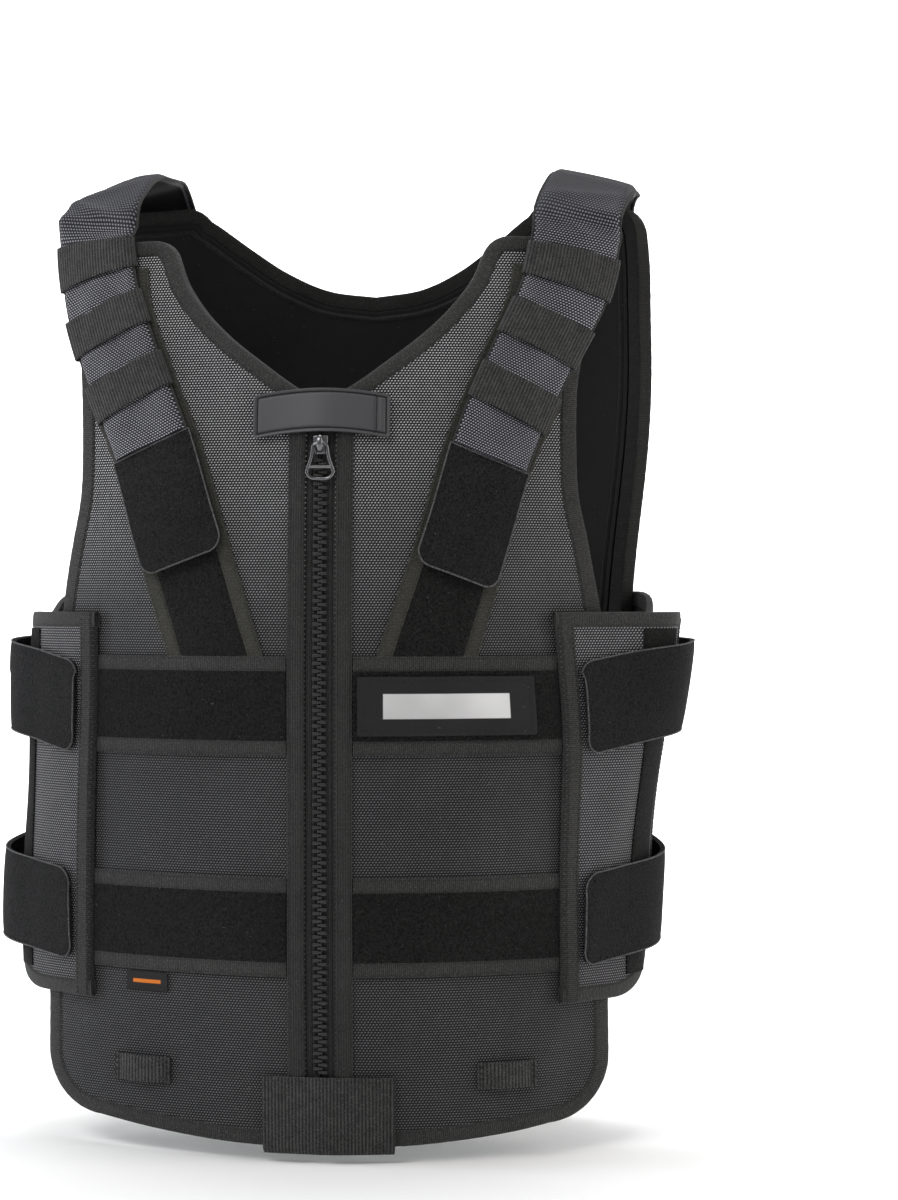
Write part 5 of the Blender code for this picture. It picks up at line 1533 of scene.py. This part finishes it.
# %% Strap tabs and anchors
def strap_tab(name, mirror):
    drawn = STRAP_SIDES[name]["drawn"]
    low, high = strap_run_at(mirror, -0.265) - drawn, strap_run_at(mirror, -0.189) - GAP - drawn
    run = low + (high - low) * np.linspace(0, 1, 41) ** 1.35
    half = 0.030 - cut_in(run - low, 0.010)
    u = np.linspace(-1, 1, 25)[None, :]
    curl = 0.0010 * np.exp(-((run - low) / 0.006) ** 2)[:, None]
    lift = 0.0042 + 0.0008 * (1 - np.abs(u) ** 8) - 0.0004 + curl
    points = strap_at(run[:, None] + 0 * u, half[:, None] * u, lift, mirror)
    laid(f"strap_tab_pile_{name}", points, hook_nap, 0.0040, "hook_tape", f"strap_tab_{name}",
         inside_point=strap_inside(mirror), bevel=0)
    wire(f"strap_tab_edge_{name}", outline_of(points), True, 0.0006, cut_edge)


def strap_anchor(name, mirror):
    low, high = strap_run_at(mirror, -0.0625, True), strap_run_at(mirror, -0.116, True)
    run = np.linspace(low, high, 31)
    u = np.linspace(-1, 1, 25)[None, :]
    flare = 0.0285 + 0.0025 * eased(run, low, high)
    lift = 0.0030 + 0.0006 * np.exp(-((run - high) / 0.007) ** 4)[:, None] - 0.0004 * np.abs(u) ** 8
    points = strap_at(run[:, None] + 0 * u, flare[:, None] * u, lift, mirror)
    laid(f"strap_anchor_tape_{name}", points, webbing_along, 0.0016, "webbing", f"strap_anchor_{name}",
         inside_point=strap_inside(mirror))
    side, top = 0.0255, 0.0030
    for start_aside, end_aside in ((side, side), (-side, -side), (side, -side), (-side, side)):
        strap_sew(low + 0.003, high - 0.004, start_aside, end_aside, top, mirror)
    for at in (high - 0.003, high - 0.012):
        strap_sew(at, at, side, -side, top + 0.0004, mirror)
    for at in (low - 0.003, low - 0.010):
        strap_sew(at, at, 0.024, -0.024, STRAP + 0.0003, mirror)


def shoulder(name, mirror):
    loops = [strap_run_at(mirror, z) - STRAP_SIDES[name]["drawn"] for z in LOOP_HEIGHTS]
    shoulder_pad(name, mirror, loops)
    for number, middle in enumerate(loops, start=1):
        strap_loop(name, mirror, number, middle)
    strap_tab(name, mirror)
    strap_anchor(name, mirror)


both_sides(shoulder)
print("strap line:", round(STRAP_LINES[False][0][-1], 3), "m")

# %% [markdown]
# ## Back trims
# Two runs of webbing go down the back, ribbed across and sewn along both sides and the middle. A
# wide patch crosses them, with one plain reflective bar in its middle.

# %% Patch finish and plates
def patch_finish(name, half_width, half_height, dull=(0.42, 0.42, 0.42), bright=(0.72, 0.72, 0.72)):
    """Black patch cloth with a plain bar, masked by the flat coordinates."""
    finish, bench, shader, flat, place = start_finish(name)
    apart = bench.add("SeparateXYZ", flat)
    inside = [bench.ramp(bench.math("ABSOLUTE", value), limit + 0.0003, limit - 0.0003)
              for value, limit in ((apart.outputs[0], half_width), (apart.outputs[1], half_height))]
    bar = bench.math("MULTIPLY", *inside)
    grain = bench.noise(flat, 900.0, 2.0, 0.6)
    black = handled(bench, place, bench.mix(grain, (0.010, 0.010, 0.0105), (0.026, 0.025, 0.027)))
    sheen = bench.mix(bench.ramp(bench.noise(place, 14.0), 0.2, 0.8), dull, bright)
    close_finish(bench, shader, bench.mix(bar, black, sheen), bench.math("MULTIPLY_ADD", bar, -0.35, 0.85),
                 bench.math("MULTIPLY_ADD", bar, 0.8, grain), 0.00012, 0.05)
    return finish


def plate(name, side, a_range, heights, top, thickness, finish, slot, mirror=False, node=None, corner=0.0015,
          cell=0.002, shape=None, arch=None, **more):
    """A flat piece with rounded corners. shape adds lift and arch adds height, both from (a, z)."""
    (a0, a1), (z0, z1) = a_range, heights
    ends = np.array((0.0, 0.05, 0.15, 0.35, 0.7, 1.0)) * corner
    between = np.linspace(z0 + corner, z1 - corner, steps(z1 - z0, cell) + 1)[1:-1]
    z = np.concatenate((z0 + ends, between, (z1 - ends)[::-1]))
    half = (a1 - a0) / 2 - cut_in(np.minimum(z - z0, z1 - z), corner)
    inner_part = np.linspace(-1, 1, steps(a1 - a0, cell) + 1)
    edge = 1 - np.array((0.0, 0.25, 0.6, 1.0)) * corner / ((a1 - a0) / 2)
    u = np.unique(np.concatenate((-edge, inner_part[np.abs(inner_part) < edge[-1]], edge)))
    a = (a0 + a1) / 2 + half[:, None] * u[None, :]
    height = z[:, None] + 0 * a
    lift = np.full_like(a, top)
    if shape is not None:
        lift = lift + shape(a, height)
    flat = np.stack((a - (a0 + a1) / 2, height - (z0 + z1) / 2), axis=-1)
    if mirror:
        flat[..., 0] *= -1
    if arch is not None:
        height = height + arch(a)
    return laid(name, lay(side, a, height, lift, mirror), finish, thickness, slot, node, flat, **more)


def border(a_range, heights, width, depth, soft=0.0006):
    """A raised border as lift: it steps down inside its width."""
    (a0, a1), (z0, z1) = a_range, heights

    def lift(a, z):
        edge = np.minimum(np.minimum(a - a0, a1 - a), np.minimum(z - z0, z1 - z))
        return -depth * eased(edge, width - soft, width + soft)
    return lift


def sew_box(group, side, a_range, heights, by, lift):
    """A seam round a plate, a little inside its edge."""
    (a0, a1), (z0, z1) = a_range, heights
    a0, a1, z0, z1 = a0 + by, a1 - by, z0 + by, z1 - by
    sew(group, side, [(a0, z0), (a1, z0), (a1, z1), (a0, z1), (a0, z0)], lift)


# %% Back webbing and patch
def back_tape(name, mirror):
    band(f"back_webbing_tape_{name}", "back", *tall(0.084, 0.140, (-0.5850, -0.1200)), 0.0020, 0.0014,
         webbing_across, "webbing", mirror, node=f"back_webbing_{name}", columns=16)
    for a in (0.0855, 0.112, 0.1385):
        sew("back", "back", upright(a, (-0.584, -0.2215), 2), 0.0019, mirror)
        sew("back", "back", upright(a, (-0.1285, -0.121), 2), 0.0019, mirror)


both_sides(back_tape)
PATCH_X, PATCH_Z = (-0.150, 0.150), (-0.2195, -0.1295)
back_badge = patch_finish("back_patch_dressed", 0.118, 0.0185)
plate("back_patch_cloth", "back", PATCH_X, PATCH_Z, 0.0047, 0.0020, back_badge, "patch_cloth",
      node="back_patch", cell=0.003, shape=border(PATCH_X, PATCH_Z, 0.0030, 0.0003))
sew_box("back", "back", PATCH_X, PATCH_Z, 0.0040, 0.0044)

# %% [markdown]
# ## Small pieces on the front
# The neck tab is leather, arched over the zip, with a line pressed in along its border and two near
# its end. The hem tab joins the halves below the zip. Two small webbing loops sit above the hem. A
# patch lies on the chest band and a woven label under the waist band, each with one plain bar.

# %% Neck tab
TAB_X, TAB_Z = (-0.0435, 0.0435), (-0.186, -0.158)
TAB_TOP = 0.0048
PRESSED_IN = 0.0023


def tab_arch(a):
    return 0.0045 * (1 - (a / 0.0435) ** 2)


def tab_relief(a, z):
    edge = np.minimum(np.minimum(a - TAB_X[0], TAB_X[1] - a), np.minimum(z - TAB_Z[0], TAB_Z[1] - z))
    groove = -0.0013 * np.exp(-((edge - PRESSED_IN) / 0.0007) ** 2)
    lines = sum(-0.0006 * np.exp(-((a - at) / 0.0005) ** 2) for at in (0.0342, 0.0364))
    return 0.0018 * np.exp(-(a / 0.016) ** 2) + groove + lines


plate("neck_tab_leather", "front", TAB_X, TAB_Z, TAB_TOP, 0.0022, tab_leather, "tab_leather",
      node="neck_tab", cell=0.0006, corner=0.0020, shape=tab_relief, arch=tab_arch)
corners = [(TAB_X[i], TAB_Z[j]) for i, j in ((0, 0), (1, 0), (1, 1), (0, 1))]
pressed = spaced(inset(corners, PRESSED_IN, closed=True)[[0, 1, 2, 3, 0]], 200)[:-1]
crease = np.array([(0.0350, z) for z in np.linspace(TAB_Z[0] + 0.0026, TAB_Z[1] - 0.0026, 20)])
# Thin dark wires of the thread finish lie in the border's pressed line and between the two end lines: painted
# shade in the grooves.
for name, line, closed in (("border", pressed, True), ("crease", crease, False)):
    a, z = line.T
    points = lay("front", a, z + tab_arch(a), TAB_TOP + tab_relief(a, z) + 0.0001)
    wire(f"neck_tab_{name}", points, closed, 0.0004, thread)

# %% Hem tab
HEM_X, HEM_Z = (-0.037, 0.047), (-0.646, -0.596)


def hem_relief(a, z):
    """Raised over the zip's end, and bent in at its lower edge."""
    return 0.0006 * np.exp(-(a / 0.010) ** 2) - 0.0030 * np.clip((-0.640 - z) / 0.006, 0, 1) ** 2


plate("hem_tab_webbing", "front", HEM_X, HEM_Z, 0.0040, 0.0016, webbing_along, "webbing", node="hem_tab",
      cell=0.002, corner=0.0008, shape=hem_relief)
for a in (0.0170, 0.0440):
    sew("front", "front", [(a, -0.598), (a, -0.644)], 0.0041)
sew("front", "front", [(-0.035, -0.5985), (0.045, -0.5985)], 0.0041)


# %% Belt loops
def loop_stand(a, z):
    """How far a belt loop's middle stands off the panel."""
    return 0.0030 * np.clip(1 - ((a - 0.119) / 0.015) ** 2, 0, 1) ** 0.7


def belt_loop(name, mirror):
    x_range, heights = (0.100, 0.138), (-0.6055, -0.5885)
    plate(f"belt_loop_webbing_{name}", "front", x_range, heights, 0.0021, 0.0014, webbing_along,
          "webbing", mirror, node=f"belt_loop_{name}", cell=0.0012, corner=0.0006, shape=loop_stand)
    low, high = heights[0] + 0.001, heights[1] - 0.001
    for a in (0.1022, 0.1358):
        for shift in (-0.0007, 0.0007):
            sew("front", "front", [(a + shift, low), (a + shift, high)], 0.0024, mirror)


both_sides(belt_loop)
print("belt loops:", [name for name in made if name.startswith("belt_loop")])

# %% Name patch and label
NAME_X, NAME_Z = (0.024, 0.136), (-0.377, -0.339)
name_badge = patch_finish("name_patch_dressed", 0.040, 0.0080)
plate("name_patch_cloth", "front", NAME_X, NAME_Z, 0.0051, 0.0024, name_badge, "patch_cloth",
      node="name_patch", cell=0.0015, shape=border(NAME_X, NAME_Z, 0.0022, 0.0005))
sew_box("front", "front", NAME_X, NAME_Z, 0.0030, 0.0047)
LABEL_X, LABEL_Z = (-0.130, -0.102), (-0.5455, -0.5335)
label_badge = patch_finish("label_dressed", 0.0095, 0.0012, (0.55, 0.14, 0.01), (0.70, 0.20, 0.02))
plate("label_cloth", "front", LABEL_X, LABEL_Z, 0.0014, 0.0008, label_badge, "patch_cloth",
      node="woven_label", cell=0.001, corner=0.0004)

# %% [markdown]
# ## Stitches
# Every seam so far has only left its places behind. One stitch is a small squashed ball; copies of
# it, turned along each seam, now become a few meshes.

# %% Stitches
bpy.ops.object.select_all(action="DESELECT")
bpy.ops.mesh.primitive_uv_sphere_add(segments=6, ring_count=4, radius=0.5)
stitch = named("stitch")
stitch_points = np.array([v.co for v in stitch.data.vertices])[:, [2, 0, 1]] * (0.0024, 0.00062, 0.00050)
stitch_faces = [tuple(p.vertices) for p in stitch.data.polygons]
bpy.data.objects.remove(stitch)
for group, rows_list in rows_of_stitches.items():
    frames = []
    for places, ways, outs in rows_list:
        ways = ways / np.linalg.norm(ways, axis=1, keepdims=True)
        outs = outs - ways * (outs * ways).sum(axis=1, keepdims=True)
        outs = outs / np.linalg.norm(outs, axis=1, keepdims=True)
        sides = np.cross(outs, ways)
        frames += [(place, (way, side, out)) for place, way, side, out in zip(places, ways, sides, outs)]
    seam = copies(f"stitches_{group}", stitch_points, stitch_faces, frames, thread)
    ride(seam)
    print(group, len(frames), "stitches")

# %% [markdown]
# ## Floor, backdrop and light
# The photo has a white studio ground and broad, soft light from above and from the left, with a
# weaker one from the right that draws the straps' edges.

# %% Floor and backdrop
FLOOR = -0.652
bpy.ops.object.select_all(action="DESELECT")
bpy.ops.mesh.primitive_grid_add(x_subdivisions=2, y_subdivisions=48, size=1.0)
floor = named("studio_floor")
for vert in floor.data.vertices:
    t = vert.co.y + 0.5
    far = -3.0 + 6.2 * t
    bend = max(0.0, far - 1.4)
    angle = min(bend / 0.8, math.pi / 2)
    vert.co = (vert.co.x * 9.0, min(far, 1.4) + 0.8 * math.sin(angle),
               FLOOR + 0.8 * (1 - math.cos(angle)) + max(0.0, bend - 0.8 * math.pi / 2))
bpy.ops.object.shade_smooth()
paper = bpy.data.materials.new("studio_paper")
paper.use_nodes = True
paper.node_tree.nodes["Principled BSDF"].inputs["Base Color"].default_value = (0.94, 0.94, 0.94, 1.0)
paper.node_tree.nodes["Principled BSDF"].inputs["Roughness"].default_value = 0.9
floor.data.materials.append(paper)

# %% Lights
LIGHTS = (  # name, place, aim, size across and up, power, colour
    ("key", (-1.1, -1.9, 1.7), (0.0, 0.0, -0.25), (1.6, 1.2), 37.0, (1.0, 0.99, 0.98)),
    ("fill", (2.1, -1.15, 0.4), (0.0, 0.0, -0.30), (1.0, 1.6), 5.5, (1.0, 1.0, 1.0)),
    ("right_strip", (1.6, -0.15, 0.1), (0.15, 0.0, -0.30), (0.4, 1.6), 7.0, (1.0, 0.93, 0.89)),
    ("left_strip", (-1.5, -0.2, 0.1), (-0.15, 0.0, -0.30), (0.4, 1.6), 9.0, (0.92, 0.95, 1.0)),
    ("top", (0.0, 0.3, 1.7), (0.0, 0.0, -0.20), (1.6, 1.0), 22.0, (0.96, 0.98, 1.0)),
    ("back_wall", (0.0, 0.9, 1.2), (0.0, 2.2, 0.2), (3.0, 0.8), 80.0, (1.0, 1.0, 1.0)),
)
for name, place, aim, (across, up), power, colour in LIGHTS:
    data = bpy.data.lights.new(name, "AREA")
    data.shape = "RECTANGLE"
    data.size, data.size_y, data.energy, data.color = across, up, power, colour
    light = bpy.data.objects.new(name, data)
    bpy.context.scene.collection.objects.link(light)
    light.location = place
    light.rotation_euler = (Vector(aim) - Vector(place)).to_track_quat("-Z", "Y").to_euler()
world = bpy.data.worlds.new("studio") if bpy.context.scene.world is None else bpy.context.scene.world
bpy.context.scene.world = world
world.use_nodes = True
world.node_tree.nodes["Background"].inputs["Color"].default_value = (1.0, 1.0, 1.0, 1.0)
world.node_tree.nodes["Background"].inputs["Strength"].default_value = 0.34

# The photo's ground is plain white, so colours go to the picture as they are.
bpy.context.scene.view_settings.view_transform = "Standard"

# %% Count of pieces
print("pieces:", len(made))
